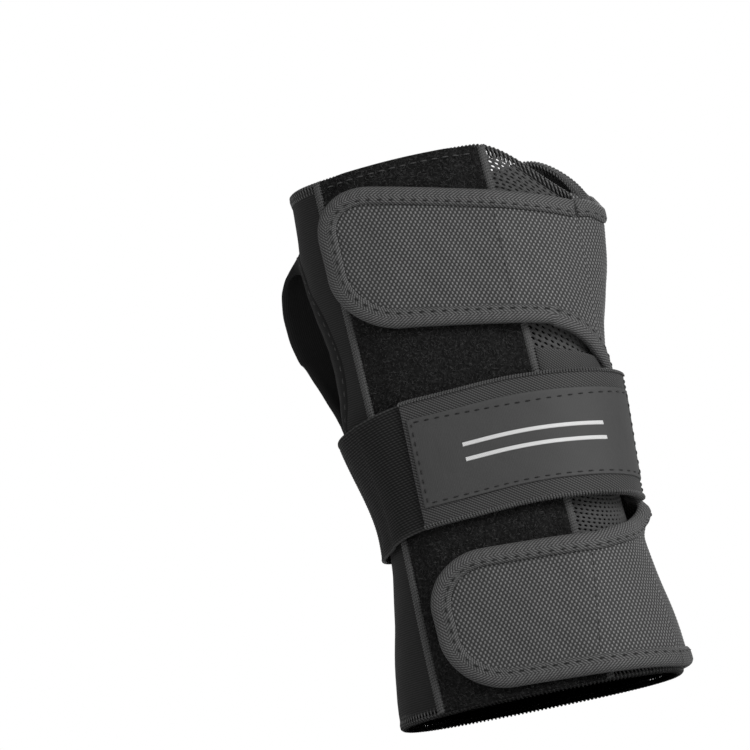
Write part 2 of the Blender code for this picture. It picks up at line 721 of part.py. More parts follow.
def band_height(along):
    """Middle height of the elastic, by the distance from the palm's centre line round the thumb side."""
    return eased(along, BAND_HEIGHTS)


def band_lift(s):
    """Inner lift of the elastic over the leather, the splint and the thumb side."""
    return straight(abs(s), BAND_LIFTS)


def tab_lift(across):
    """Inner lift of the elastic's loose end over the loop panel, with its hook pad between."""
    on_loop = loop_lift(0) + 2 * GAP + TAB_HOOK_THICKNESS
    return straight(across, [(TAB_ROOT, TAB_ROOT_LIFT), (TAB_ROOT + TAB_RISE, on_loop)])


def build_elastic(mat):
    """The elastic from the little-finger seam over the palm to the thumb side, and its loose tab."""
    wrist = BAND_HEIGHTS[0][1]
    xs = steps(from_loop_line(BAND_END, wrist) - 2 * half_girth(wrist), ELASTIC_START, COLUMN_STEP)

    def band_edges(s):
        middle = band_height(-s)
        return middle - ELASTIC_HALF_HEIGHT, middle + ELASTIC_HALF_HEIGHT

    def tab_edges(across):
        middle = band_height(2 * half_girth(wrist) - from_loop_line(across, wrist))
        return middle - ELASTIC_HALF_HEIGHT, middle + ELASTIC_HALF_HEIGHT

    strip("elastic_band", mat["elastic_knit"], xs, band_edges,
          lambda s, z: (band_lift(s), band_lift(s) + ELASTIC_THICKNESS), STRAP_ROWS, skin)
    tab_xs = steps(TAB_ROOT, TAB_TIP, COLUMN_STEP)
    pieces = [strip("elastic_tab", mat["elastic_knit"], tab_xs, tab_edges,
                    lambda x, z: (tab_lift(x), tab_lift(x) + ELASTIC_THICKNESS), STRAP_ROWS, on_back)]

    def layer(name, material, span, half_height, base, thickness):
        def edges(x):
            low, high = tab_edges(x)
            return (low + high) / 2 - half_height, (low + high) / 2 + half_height

        def lifts(x, z):
            return tab_lift(x) + base, tab_lift(x) + base + thickness

        layer_xs = span[:1] + tuple(x for x in tab_xs if span[0] + 1 < x < span[1] - 1) + span[1:]
        pieces.append(strip(name, mat[material], layer_xs, edges, lifts, HOOK_ROWS, on_back))

    cover_base = ELASTIC_THICKNESS + GAP
    label_base = cover_base + TAB_COVER_THICKNESS + GAP
    layer("tab_cover", "twill_tape", (TAB_COVER_ROOT, TAB_TIP), ELASTIC_HALF_HEIGHT,
          cover_base, TAB_COVER_THICKNESS)
    layer("label_patch", "label_satin", LABEL_SPAN, LABEL_HALF_HEIGHT, label_base, LABEL_THICKNESS)
    layer("tab_hook", "hook_tape", TAB_HOOK_SPAN, ELASTIC_HALF_HEIGHT - TAB_HOOK_INSET,
          -GAP - TAB_HOOK_THICKNESS, TAB_HOOK_THICKNESS)
    across = TAB_ROOT - TAB_HINGE_BACK
    low, high = tab_edges(across)
    lift = TAB_ROOT_LIFT + ELASTIC_THICKNESS / 2
    hang_on_hinge("elastic_tab_hinge", on_back(across, low, lift), on_back(across, high, lift), pieces)


# ---------------------------------------------------------------- palm

def pocket(z):
    """1 where the splint lies behind the leather, 0 where it lies over it."""
    half = SLIT_OPENING / 2
    low, hidden, upper = SLIT_HEIGHTS
    return straight(z, [
        (low - half, 0), (low + half, 1), (hidden - half, 1), (hidden + half, 0),
        (upper - half, 0), (upper + half, 1), (POCKET_TOP, 1), (POCKET_TOP + half * 2, 0),
    ])


def leather_rows():
    """Heights of the leather's rows, with the slits' edges and the pocket's ends among them."""
    half = SLIT_OPENING / 2
    marks = [LEATHER_HEIGHTS[0]]
    for z in SLIT_HEIGHTS:
        marks += [z - half, z + half]
    marks += [POCKET_TOP, POCKET_TOP + half * 2, LEATHER_HEIGHTS[1]]
    rows = []
    for low, high in zip(marks, marks[1:]):
        rows += steps(low, high, ROW_STEP)[:-1]
    return rows + [marks[-1]]


def build_leather(mat):
    """The palm's leather panel, crowned over the splint where it covers it, with its three slits."""
    slit = SLIT_WIDTH / 2
    side = steps(slit, LEATHER_WIDTH / 2, 4.5)
    columns = [-s for s in reversed(side)] + steps(-slit, slit, 5.4)[1:-1] + side
    rows = leather_rows()

    def lift(s, z):
        return GAP + (SPLINT_THICKNESS + GAP) * crown(s, SLIT_WIDTH / 2) * pocket(z)

    def missing(i, j):
        inside = -slit <= (columns[i] + columns[i + 1]) / 2 <= slit
        return inside and any(abs((rows[j] + rows[j + 1]) / 2 - z) < SLIT_OPENING / 2 for z in SLIT_HEIGHTS)

    def place(i, j, thickness):
        s, z = columns[i], rows[j]
        return skin(s, z, lift(s, z) + thickness)

    sheet_solid("leather_palm_panel", mat["synthetic_leather"], len(columns), len(rows),
                lambda i, j: place(i, j, 0), lambda i, j: place(i, j, LEATHER_THICKNESS), missing)


def splint_lift(z):
    """Inner lift of the palm splint: behind the leather in its pockets, bowed over it between them."""
    over = (LEATHER_THICKNESS + GAP) * (1 - pocket(min(z, POCKET_TOP)))
    t = (z - BOW_CENTRE) / BOW_HALF_SPAN
    bow = SPLINT_BOW * math.cos(t * math.pi / 2) ** 2 if abs(t) < 1 else 0
    return GAP + over + bow * (1 - pocket(min(z, POCKET_TOP)))


def build_palm_splint(mat):
    """The stiff plastic splint that runs through the leather's slits."""
    low, high = SPLINT_HEIGHTS
    corner = [SPLINT_CORNER * (1 - math.cos(math.pi / 2 * k / CORNER_STEPS)) for k in range(CORNER_STEPS)]
    between = [z for z in leather_rows() if low + SPLINT_CORNER < z < high - SPLINT_CORNER]
    bow = steps(BOW_CENTRE - BOW_HALF_SPAN, BOW_CENTRE + BOW_HALF_SPAN / 2, EDGE_STEP)
    rows = [low + z for z in corner] + [high - z for z in corner] + between
    rows += [z for z in bow if min(abs(z - other) for other in between) > BOW_ROW_GAP]
    rows.sort()

    def half_width(z):
        into = max(0, low + SPLINT_CORNER - z, z - high + SPLINT_CORNER)
        return SPLINT_WIDTH / 2 - SPLINT_CORNER + math.sqrt(max(0, SPLINT_CORNER ** 2 - into ** 2))

    def place(i, j, lift):
        z = rows[j]
        return skin(half_width(z) * (2 * i / (SPLINT_COLUMNS - 1) - 1), z, splint_lift(z) + lift)

    sheet_solid("palm_splint", mat["splint_plastic"], SPLINT_COLUMNS, len(rows),
                lambda i, j: place(i, j, 0), lambda i, j: place(i, j, SPLINT_THICKNESS))


def main():
    for obj in list(bpy.data.objects):
        bpy.data.objects.remove(obj)
    mat = make_materials()
    build_sleeve(mat)
    build_thumb_facing(mat)
    build_hems(mat)
    build_linings(mat)
    build_loop_panel(mat)
    build_yoke(mat)
    build_gusset_tape(mat)
    build_strap(mat, "upper_strap", lambda x: UPPER_STRAP_MIDDLE + UPPER_STRAP_SLOPE * x,
                lambda x: UPPER_STRAP_HALF + UPPER_STRAP_TAPER * x, UPPER_STRAP_TIP)
    build_strap(mat, "lower_strap", lambda x: LOWER_STRAP_MIDDLE + LOWER_STRAP_SLOPE * x,
                lambda x: LOWER_STRAP_HALF, LOWER_STRAP_TIP)
    build_elastic(mat)
    build_leather(mat)
    build_palm_splint(mat)


main()
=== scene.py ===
"""Looks of a right-hand wrist guard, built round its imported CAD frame.

Every piece is laid on the sleeve's outer surface, the skin, by the same three numbers in millimetres
as in the CAD: a distance round the sleeve, a height, and a lift off the skin. Threads, stitches and pile
are real tubes.
"""

import math
from functools import partial

import bmesh
import bpy
import numpy as np
from mathutils import Matrix, Vector


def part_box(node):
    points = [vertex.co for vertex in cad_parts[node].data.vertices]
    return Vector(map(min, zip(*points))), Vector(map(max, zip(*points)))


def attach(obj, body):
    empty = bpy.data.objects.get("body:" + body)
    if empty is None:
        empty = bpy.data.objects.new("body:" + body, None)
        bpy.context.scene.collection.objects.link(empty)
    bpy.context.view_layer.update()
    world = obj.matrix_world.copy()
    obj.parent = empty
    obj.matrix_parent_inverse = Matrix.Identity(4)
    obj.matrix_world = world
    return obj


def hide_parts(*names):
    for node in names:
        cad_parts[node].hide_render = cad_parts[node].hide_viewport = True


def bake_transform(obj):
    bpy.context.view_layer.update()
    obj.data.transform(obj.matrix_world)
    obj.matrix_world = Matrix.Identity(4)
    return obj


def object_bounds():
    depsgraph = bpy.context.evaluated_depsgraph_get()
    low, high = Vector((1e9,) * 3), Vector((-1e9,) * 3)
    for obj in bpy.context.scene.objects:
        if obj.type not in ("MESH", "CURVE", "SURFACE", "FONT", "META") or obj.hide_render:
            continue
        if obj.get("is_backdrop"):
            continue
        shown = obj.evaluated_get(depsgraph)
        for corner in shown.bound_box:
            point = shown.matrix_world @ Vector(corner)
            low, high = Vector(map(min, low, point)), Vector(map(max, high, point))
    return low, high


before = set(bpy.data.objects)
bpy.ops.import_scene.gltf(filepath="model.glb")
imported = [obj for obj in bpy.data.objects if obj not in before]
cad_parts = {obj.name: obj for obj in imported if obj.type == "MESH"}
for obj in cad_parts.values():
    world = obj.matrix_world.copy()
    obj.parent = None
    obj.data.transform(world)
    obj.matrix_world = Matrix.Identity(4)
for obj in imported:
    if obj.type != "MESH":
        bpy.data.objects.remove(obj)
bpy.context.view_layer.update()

MM = 0.001
TURN = 2 * math.pi

# Sleeve, as in the CAD. Each station is (height, value), and the shifts are towards the little finger.
HALF_WIDTHS = [(0.0, 49.6), (66.0, 41.2), (110.0, 46.2), (162.0, 52.0), (193.0, 50.4)]
HALF_DEPTHS = [(0.0, 31.0), (80.0, 27.6), (150.0, 27.4), (193.0, 26.0)]
CENTRE_SHIFTS = [(0.0, 3.2), (66.0, 3.3), (110.0, 0.5), (162.0, 3.8), (193.0, 3.2)]
ROUNDNESS = 2.5
SLEEVE_TOP = 190.0
SLEEVE_BOTTOM = 2.0
SLEEVE_THICKNESS = 3.0
ULNAR_DIP = 24.0
DIP_CENTRE = 74.0
DIP_HALF_SPAN = 40.0
BACK_RISE = 1.0
BACK_RISE_CENTRE = 131.0
BACK_RISE_HALF_SPAN = 42.0
PALM_SEAM_THUMB = -35.0
PALM_SEAM_ULNAR = 44.0
GUSSET_EDGE_ULNAR = 68.0
THUMB_SIDE_EDGE = -79.0
PANEL_GUESS = 60.0  # a panel's width, to start from
CLEARANCE = 0.3  # between one layer and the next

# Back of the hand
LOOP_CENTRE = -6.0
LOOP_SLANT = -0.03
LOOP_EDGES = (-27.4, 28.8)
LOOP_OVERHANG = 1.5
LOOP_THICKNESS = 1.7
BACK_SPLINT_RISE = 1.5
BACK_SPLINT_HALF = 17.3
CROWN_SLOPE = 6.0
CROSSING_TAPE_ENDS = (31.5, 65.0)
CROSSING_TAPE_HALF = 4.4

# Palm
LEATHER_HALF_WIDTH = 39.5
LEATHER_HEIGHTS = (1.0, 190.5)
LEATHER_THICKNESS = 1.5
SPLINT_HALF_WIDTH = 19.0
SPLINT_THICKNESS = 2.0
SPLINT_HEIGHTS = (30.0, 178.0)
SPLINT_CORNER = 9.0
SPLINT_BOW = 5.2
BOW_CENTRE = 130.0
BOW_HALF_SPAN = 30.0
SLIT_HALF_WIDTH = 21.5
SLIT_OPENING = 5.0
SLIT_HEIGHTS = (25.0, 86.0, 150.0)
POCKET_TOP = 180.5
LEATHER_STITCH_INSETS = (3.0, 7.2)
PAD_HALF_WIDTH = 27.5
PAD_HEIGHTS = (22.5, 171.5)
PAD_PUFF = 0.45

# Thumb hole
THUMB_HOLE_CENTRE = (-61.0, 134.5)
THUMB_HOLE_HALF = (12.5, 31.0)
THUMB_HOLE_POINT = 1.55
FACING_WIDTH = 7.0
LIP_REACH = (-15.0, -2.5, 0.0)
LIP_TURN = 25.0

# Yoke and straps. The C is the edge between the straps, as (across, height).
STRAP_ROOT = 54.0
STRAP_THICKNESS = 1.6
ROOT_LIFT = 2.5
YOKE_EDGE = 56.8
C_EDGE_TOP = [(38.0, 123.9), (42.0, 122.4), (46.0, 120.2), (50.0, 117.0), (54.0, 113.2),
              (58.0, 109.0), (62.0, 104.6), (65.0, 99.8), (66.8, 94.0), (67.2, 87.5)]
C_EDGE_BOTTOM = [(67.2, 87.5), (67.0, 80.0), (66.6, 72.0), (65.4, 64.5), (62.0, 58.6),
                 (57.0, 55.4), (50.0, 53.4), (42.0, 52.0), (35.0, 50.9)]
C_TAPE_ENDS = (97.0, 76.0)
YOKE_FLAT = 18.0
STRAP_CORNER = 20.0
STRAP_INSET = 2.2  # from the tape's outer edge to the weave's
UPPER_STRAP = {"middle": 156.3, "slope": -0.2115, "half": 25.3, "taper": -0.0415, "tip": -30.0}
LOWER_STRAP = {"middle": 27.9, "slope": -0.044, "half": 24.5, "taper": 0.0, "tip": -22.0}
WEAVE_FACES = (0.6, -0.7)  # lifts of the weave's two faces off its middle
WEAVE_RELIEF = 0.17
TAPE_WIDTH = 6.5
TAPE_INNER_HALF = 0.8
TAPE_OUTER_HALF = TAPE_INNER_HALF + 0.85
TAPE_FACE = 1.83  # lift of the tape's face off the cloth's middle
HOOK_THICKNESS = 1.2

# Elastic. Distances are from the palm's centre line round the thumb side.
ELASTIC_HALF_HEIGHT = 22.0
ELASTIC_THICKNESS = 1.5
BAND_START = -43.4
LOOSE_START = 8.0  # how far before its hinge the loose part of the elastic begins
TAB_ROOT = -35.1
TAB_TIP = 63.0
BAND_HEIGHTS = [(-44.0, 84.5), (0.0, 84.5), (61.0, 80.5), (98.0, 85.5), (128.0, 86.5), (180.0, 83.5)]
BAND_LIFTS = [(0.0, 5.3), (20.0, 5.2), (26.0, 4.6), (38.0, 2.6), (43.0, 1.5), (76.0, 2.0)]
WRIST = 84.5

# Label
LABEL = (-15.5, 60.5)
LABEL_STITCHES = (-14.2, 59.2, 14.2)  # the two ends and the half height
WOVEN_LINE = (0.0, 45.0)
WOVEN_LINE_HALF = 0.75
WOVEN_LINE_OFFSET = 2.6
LABEL_WAVES = (0.12, 1.5)

# Cloth scales
WEAVE_PITCH = (0.72, 1.12)  # half the spacing of the yarns along a strap, and their spacing across it
RIB_PITCH = 0.92
STITCH_PITCH = 3.7
MESH_PITCH = (2.05, 1.7)
HEM_THREADS = 190
HEM_LIFT = -1.75
HEM_RISE = 0.85
LOOP_TUFTS = 15000
THREAD_RADIUS = 0.28

RNG = np.random.default_rng(7)

# Camera and light
CAMERA_ELEVATION = -9.5
CAMERA_DISTANCE = 1.6
CAMERA_LENS = 220.0
CAMERA_SENSOR = 36.0
CAMERA_ROLL = 11.7
AIM_LEFT = 0.0360
AIM_UP = 0.0199
WORLD_LIGHT = 0.45  # of the backdrop's white, as much as lights the guard
LIGHTS = {  # (direction, distance, size, power)
    "key": ((1.0, -0.85, 0.45), 1.8, 0.9, 38.0),
    "fill": ((-0.8, -1.0, 0.4), 1.4, 0.9, 5.0),
    "rim": ((0.2, 0.9, 0.8), 1.3, 0.8, 8.0),
}
FLOOR_HALF = 3.0
FLOOR_DROP = 0.0006


# ---------------------------------------------------------------- surface

def eased(x, stations):
    """Values at x of a curve that eases from each station to the next."""
    xs, values = (np.array(column, float) for column in zip(*stations))
    x = np.clip(x, xs[0], xs[-1])
    i = np.clip(np.searchsorted(xs, x, side="right") - 1, 0, len(xs) - 2)
    t = (x - xs[i]) / (xs[i + 1] - xs[i])
    return values[i] + (values[i + 1] - values[i]) * t * t * (3 - 2 * t)


def straight(x, stations):
    """Values at x of straight runs between stations."""
    xs, values = zip(*stations)
    return np.interp(x, xs, values)


def smooth(t):
    t = np.clip(t, 0, 1)
    return t * t * (3 - 2 * t)


def bell(t):
    """1 at 0, easing to 0 at 1 and beyond, on both sides."""
    return np.cos(np.clip(t, -1, 1) * math.pi / 2) ** 2


def grid(rows, columns):
    return np.meshgrid(rows, columns, indexing="ij")


def within(value, low, high):
    """Distance from the nearer of two limits."""
    return np.minimum(value - low, high - value)


class Section:
    """The superellipse section by the share of its girth, tabulated over depth-to-width ratios."""

    SAMPLES = 2881
    RATIOS = np.linspace(0.5, 0.7, 21)

    def __init__(self):
        angle = np.linspace(-math.pi, math.pi, self.SAMPLES)
        power = 2 / ROUNDNESS
        u = np.sign(np.sin(angle)) * np.abs(np.sin(angle)) ** power
        v = np.sign(np.cos(angle)) * np.abs(np.cos(angle)) ** power
        shares = np.linspace(-1, 1, self.SAMPLES)
        self.half, self.u, self.v = [], [], []
        for ratio in self.RATIOS:
            run = np.concatenate([[0], np.cumsum(np.hypot(np.diff(u), ratio * np.diff(v)))])
            half = run[-1] / 2
            self.half.append(half)
            self.u.append(np.interp(shares, run / half - 1, u))
            self.v.append(np.interp(shares, run / half - 1, v))
        self.half, self.u, self.v = np.array(self.half), np.array(self.u), np.array(self.v)
        low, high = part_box("forearm_hem")
        self.centre = (low + high) / 2 / MM
        self.centre.x -= CENTRE_SHIFTS[0][1]

    def row(self, a, b):
        place = (b / a - self.RATIOS[0]) / (self.RATIOS[1] - self.RATIOS[0])
        low = np.clip(place.astype(int), 0, len(self.RATIOS) - 2)
        return low, place - low

    def half_girth(self, z):
        a, b = eased(z, HALF_WIDTHS), eased(z, HALF_DEPTHS)
        low, share = self.row(a, b)
        return a * ((1 - share) * self.half[low] + share * self.half[low + 1])

    def point(self, around, z, lift):
        """Points in millimetres at a distance round, a height and a lift off the skin."""
        around, z, lift = (np.array(x, float) for x in np.broadcast_arrays(around, z, lift))
        a, b = eased(z, HALF_WIDTHS), eased(z, HALF_DEPTHS)
        low, share = self.row(a, b)
        turn = (around / self.half_girth(z) + 1) % 2 / 2 * (self.SAMPLES - 1)
        left = np.clip(turn.astype(int), 0, self.SAMPLES - 2)
        t = turn - left

        def look_up(table):
            near = table[low, left] * (1 - t) + table[low, left + 1] * t
            far = table[low + 1, left] * (1 - t) + table[low + 1, left + 1] * t
            return near * (1 - share) + far * share

        u, v = look_up(self.u), look_up(self.v)
        nx = np.sign(u) * np.abs(u) ** (ROUNDNESS - 1) / a
        ny = np.sign(v) * np.abs(v) ** (ROUNDNESS - 1) / b
        size = np.maximum(np.hypot(nx, ny), 1e-9)
        x = self.centre.x + eased(z, CENTRE_SHIFTS) + a * u + nx / size * lift
        y = self.centre.y + b * v + ny / size * lift
        return np.stack([x, y, z], -1)


SECTION = Section()


def skin(around, z, lift):
    """Points in metres at a distance round from the palm's centre line, a height and a lift."""
    return SECTION.point(around, z, lift) * MM


def from_loop_line(across, z):
    """Distance round from the palm's centre line of a point this far across from the loop panel's."""
    z = np.asarray(z, float)
    loop_line = LOOP_CENTRE + LOOP_SLANT * (z - SLEEVE_TOP / 2) - eased(z, CENTRE_SHIFTS)
    return SECTION.half_girth(z) - loop_line - across


def on_back(across, z, lift):
    return skin(from_loop_line(across, z), z, lift)


def bump(around, centre, half_span):
    """1 at a place round the sleeve's top, falling to 0 this far from it."""
    half = SECTION.half_girth(np.array(SLEEVE_TOP))
    distance = np.abs((np.asarray(around, float) - centre + half) % (2 * half) - half)
    return bell(distance / half_span)


def top_edge(around):
    """Height of the sleeve's top edge, which drops on the little-finger side and rises on the back."""
    dip = ULNAR_DIP * bump(around, DIP_CENTRE, DIP_HALF_SPAN)
    return SLEEVE_TOP - dip + BACK_RISE * bump(around, BACK_RISE_CENTRE, BACK_RISE_HALF_SPAN)


def crown(distance, half_width):
    """1 over a splint of this half width, falling to 0 beside it."""
    return 1 - smooth((np.abs(distance) - half_width) / CROWN_SLOPE)


def loop_lift(across):
    """Outer lift of the loop panel, which is crowned over the back splint."""
    return CLEARANCE + LOOP_THICKNESS + BACK_SPLINT_RISE * crown(across, BACK_SPLINT_HALF)


def strap_lift(across):
    """Lift of a strap's middle: over the loop panel, then down to its root."""
    on_loop = loop_lift(0) + 0.6 + HOOK_THICKNESS + STRAP_THICKNESS / 2
    return straight(across, [(LOOP_EDGES[1], on_loop), (STRAP_ROOT, ROOT_LIFT)])


def yoke_lift(across):
    """Lift of the yoke's middle, which comes down from the straps' roots to the palm seam."""
    flat_end = YOKE_EDGE + YOKE_FLAT
    return straight(across, [(flat_end, ROOT_LIFT), (flat_end + 10, 1.3)])


def pocket(z):
    """1 where the palm splint lies behind the leather, 0 where it lies over it."""
    half = SLIT_OPENING / 2
    low, hidden, upper = SLIT_HEIGHTS
    return straight(z, [
        (low - half, 0), (low + half, 1), (hidden - half, 1), (hidden + half, 0),
        (upper - half, 0), (upper + half, 1), (POCKET_TOP, 1), (POCKET_TOP + 5, 0),
    ])


def splint_lift(z):
    """Inner lift of the palm splint: behind the leather in its pockets, bowed over it between them."""
    over = 1 - pocket(np.minimum(z, POCKET_TOP))
    bow = SPLINT_BOW * bell((z - BOW_CENTRE) / BOW_HALF_SPAN)
    return CLEARANCE + ((LEATHER_THICKNESS + CLEARANCE) + bow) * over


def undulation(u, v, size, reach=1.0):
    """Soft irregular waves, about this high in millimetres, as in handled cloth."""
    waves = [(0.11, 0.07, 0.3), (-0.06, 0.16, 1.9), (0.23, -0.05, 4.1), (0.31, 0.27, 2.2)]
    total = sum(np.sin(p * u * reach + q * v * reach + r) for p, q, r in waves)
    return size * total / len(waves)


# ---------------------------------------------------------------- meshes

def span(low, high, step):
    return np.linspace(low, high, max(2, round(abs(high - low) / step) + 1))


def soft_span(low, high, step, ends=(0.0, 0.15, 0.4, 0.8, 1.3)):
    """Evenly spaced values, with more near both ends so that an edge can be rounded."""
    near = np.array(ends)
    middle = span(low + 2 * near[-1] - near[-2], high - 2 * near[-1] + near[-2], step)
    return np.concatenate([low + near, middle, (high - near)[::-1]])


def rounded(distance, radius):
    """How far a surface falls, this close to a free edge, when the edge is rounded."""
    inside = np.clip(1 - np.asarray(distance, float) / radius, 0, 1)
    return radius * (1 - np.sqrt(1 - inside ** 2))


def mesh_object(name, points, faces, material, cloth=None):
    """A smooth mesh object. faces is a list of arrays, one for each number of corners."""
    used = np.zeros(len(points), bool)
    for group in faces:
        used[group.ravel()] = True
    number = np.cumsum(used) - 1
    faces = [number[group] for group in faces if len(group)]
    points = points[used]
    mesh = bpy.data.meshes.new(name)
    mesh.vertices.add(len(points))
    mesh.vertices.foreach_set("co", np.ascontiguousarray(points, np.float32).ravel())
    corners = np.concatenate([group.ravel() for group in faces])
    sizes = np.concatenate([np.full(len(group), group.shape[1]) for group in faces])
    mesh.loops.add(len(corners))
    mesh.loops.foreach_set("vertex_index", corners.astype(np.int32))
    mesh.polygons.add(len(sizes))
    mesh.polygons.foreach_set("loop_start", (np.cumsum(sizes) - sizes).astype(np.int32))
    mesh.update(calc_edges=True)
    mesh.validate()
    mesh.shade_smooth()
    if cloth is not None:
        attribute = mesh.attributes.new("cloth", "FLOAT_VECTOR", "POINT")
        attribute.data.foreach_set("vector", cloth[used].astype(np.float32).ravel())
    mesh.materials.append(material)
    obj = bpy.data.objects.new(name, mesh)
    bpy.context.scene.collection.objects.link(obj)
    return obj


def turned_out(points, quads):
    """The quads, turned over if the closed body they make is inside out."""
    a, b, c, d = (points[quads[:, k]] for k in range(4))
    volume = np.sum(a * (np.cross(b, c) + np.cross(c, d)))
    return quads if volume > 0 else quads[:, ::-1]


FAR_FROM_EDGE = 9.0


def shell(name, material, outer, inner, u, v, edge=FAR_FROM_EDGE, kept=None):
    """A closed thin body between two grids of points. kept says which cells are there.

    u, v and edge are its cloth coordinates in millimetres: along, across, and the distance from a free edge.
    """
    rows, columns = outer.shape[:2]
    count = rows * columns
    kept = np.ones((rows - 1, columns - 1), bool) if kept is None else kept
    index = np.arange(count).reshape(rows, columns)
    a, b, c, d = index[:-1, :-1], index[1:, :-1], index[1:, 1:], index[:-1, 1:]
    upper = np.stack([a, b, c, d], -1)[kept]
    around = np.pad(kept, 1)
    quads = [upper, upper[:, ::-1] + count]
    for di, dj, p, q in ((0, -1, a, b), (1, 0, b, c), (0, 1, c, d), (-1, 0, d, a)):
        free = kept & ~around[1 + di:rows + di, 1 + dj:columns + dj]
        p, q = p[free], q[free]
        quads.append(np.stack([q, p, p + count, q + count], -1))
    points = np.concatenate([outer.reshape(-1, 3), inner.reshape(-1, 3)])
    cloth = np.stack(np.broadcast_arrays(u, v, edge), -1).reshape(-1, 3)
    return mesh_object(name, points, [turned_out(points, np.concatenate(quads))], material,
                       np.concatenate([cloth, cloth]))


def swept(name, material, profiles, closed, along, across):
    """A closed body through rows of like closed outlines, an array of (row, corner, xyz)."""
    rows, size = profiles.shape[:2]
    index = np.arange(rows * size).reshape(rows, size)
    here = index if closed else index[:-1]
    there = np.roll(index, -1, 0) if closed else index[1:]
    quads = [np.stack([here, there, np.roll(there, -1, 1), np.roll(here, -1, 1)], -1).reshape(-1, 4)]
    points = profiles.reshape(-1, 3)
    quads = np.concatenate(quads)
    faces = [turned_out(points, quads)]
    if not closed:
        flipped = faces[0] is not quads
        caps = np.stack([index[0], index[-1][::-1]])
        faces.append(caps[:, ::-1] if flipped else caps)
    cloth = np.stack(np.broadcast_arrays(along[:, None], across[None, :], FAR_FROM_EDGE), -1).reshape(-1, 3)
    return mesh_object(name, points, faces, material, cloth)


def tubes(name, material, lines, radii, sides=5):
    """Many capped tubes in one mesh, through lines[tube, point] in metres, with a radius for each point."""
    count, steps = lines.shape[:2]
    along = np.gradient(lines, axis=1)
    along /= np.maximum(np.linalg.norm(along, axis=2, keepdims=True), 1e-12)
    upright = np.where(np.abs(along[..., 2:]) < 0.8, (0, 0, 1), (0, 1, 0))
    side = np.cross(along, upright)
    side /= np.maximum(np.linalg.norm(side, axis=2, keepdims=True), 1e-12)
    other = np.cross(along, side)
    angle = np.arange(sides) / sides * TURN
    ring = side[:, :, None] * np.cos(angle)[:, None] + other[:, :, None] * np.sin(angle)[:, None]
    points = lines[:, :, None] + ring * (np.asarray(radii) * MM)[None, :, None, None]
    index = np.arange(count * steps * sides).reshape(count, steps, sides)
    here, there = index[:, :-1], index[:, 1:]
    quads = np.stack([here, np.roll(here, -1, 2), np.roll(there, -1, 2), there], -1).reshape(-1, 4)
    caps = np.concatenate([index[:, 0, ::-1], index[:, -1]])
    run = np.broadcast_to((np.arange(steps) * 0.4)[None, :, None], index.shape)
    turn = np.broadcast_to(angle[None, None], index.shape)
    cloth = np.stack([run.ravel(), turn.ravel(), np.full(index.size, FAR_FROM_EDGE)], -1)
    return mesh_object(name, points.reshape(-1, 3), [quads, caps], material, cloth)


def run_of(path):
    """Distance along a path at each of its points."""
    return np.append(0, np.cumsum(np.hypot(*np.diff(path, axis=0).T)))


def at_marks(path, marks):
    """The x and z of a path of (x, z) points at distances along it."""
    return [np.interp(marks, run_of(path), path[:, k]) for k in (0, 1)]


def stitch_lines(path, place, lift, pitch=STITCH_PITCH, share=0.62):
    """Centre lines of a row of stitches along a path, each sunk at both ends."""
    path = np.asarray(path, float)
    marks = np.arange(pitch / 2, run_of(path)[-1], pitch)
    offsets = np.linspace(-0.5, 0.5, 5) * pitch * share
    sunk = np.array([-0.32, 0.02, 0.1, 0.02, -0.32])
    x, z = at_marks(path, marks[:, None] + offsets[None])
    return place(x, z, lift(x, z) + sunk)


STITCH_RADII = np.array([0.5, 0.9, 1.0, 0.9, 0.5]) * THREAD_RADIUS


# ---------------------------------------------------------------- materials

def add(tree, kind, inputs, **settings):
    """A node with its settings and its inputs, which are sockets or values by name or number."""
    node = tree.nodes.new(kind)
    for key, value in settings.items():
        setattr(node, key, value)
    for key, value in inputs.items():
        if isinstance(value, bpy.types.NodeSocket):
            tree.links.new(value, node.inputs[key])
        else:
            node.inputs[key].default_value = value
    return node


def calc(tree, operation, *values):
    return add(tree, "ShaderNodeMath", dict(enumerate(values)), operation=operation).outputs[0]


def scaled(tree, vector, factors):
    node = add(tree, "ShaderNodeVectorMath", {0: vector, 1: factors}, operation="MULTIPLY")
    return node.outputs[0]


def wave(tree, value, pitch):
    """0 to 1 and back each pitch."""
    turned = calc(tree, "SINE", calc(tree, "MULTIPLY", value, TURN / pitch))
    return calc(tree, "MULTIPLY_ADD", turned, 0.5, 0.5)


def noise(tree, vector, size, detail=2.0, stretch=(1, 1, 1), roughness=0.55):
    """Noise of this size in the vector's unit, 0 to 1."""
    vector = scaled(tree, vector, tuple(s / size for s in stretch))
    inputs = {"Vector": vector, "Scale": 1.0, "Detail": detail, "Roughness": roughness}
    return add(tree, "ShaderNodeTexNoise", inputs).outputs["Fac"]


def stepped(tree, value, low, high, out_low=0.0, out_high=1.0):
    """value's smooth step from low to high."""
    inputs = {"Value": value, "From Min": low, "From Max": high, "To Min": out_low, "To Max": out_high}
    return add(tree, "ShaderNodeMapRange", inputs, interpolation_type="SMOOTHSTEP").outputs[0]


def grey(value):
    return value, value, value, 1


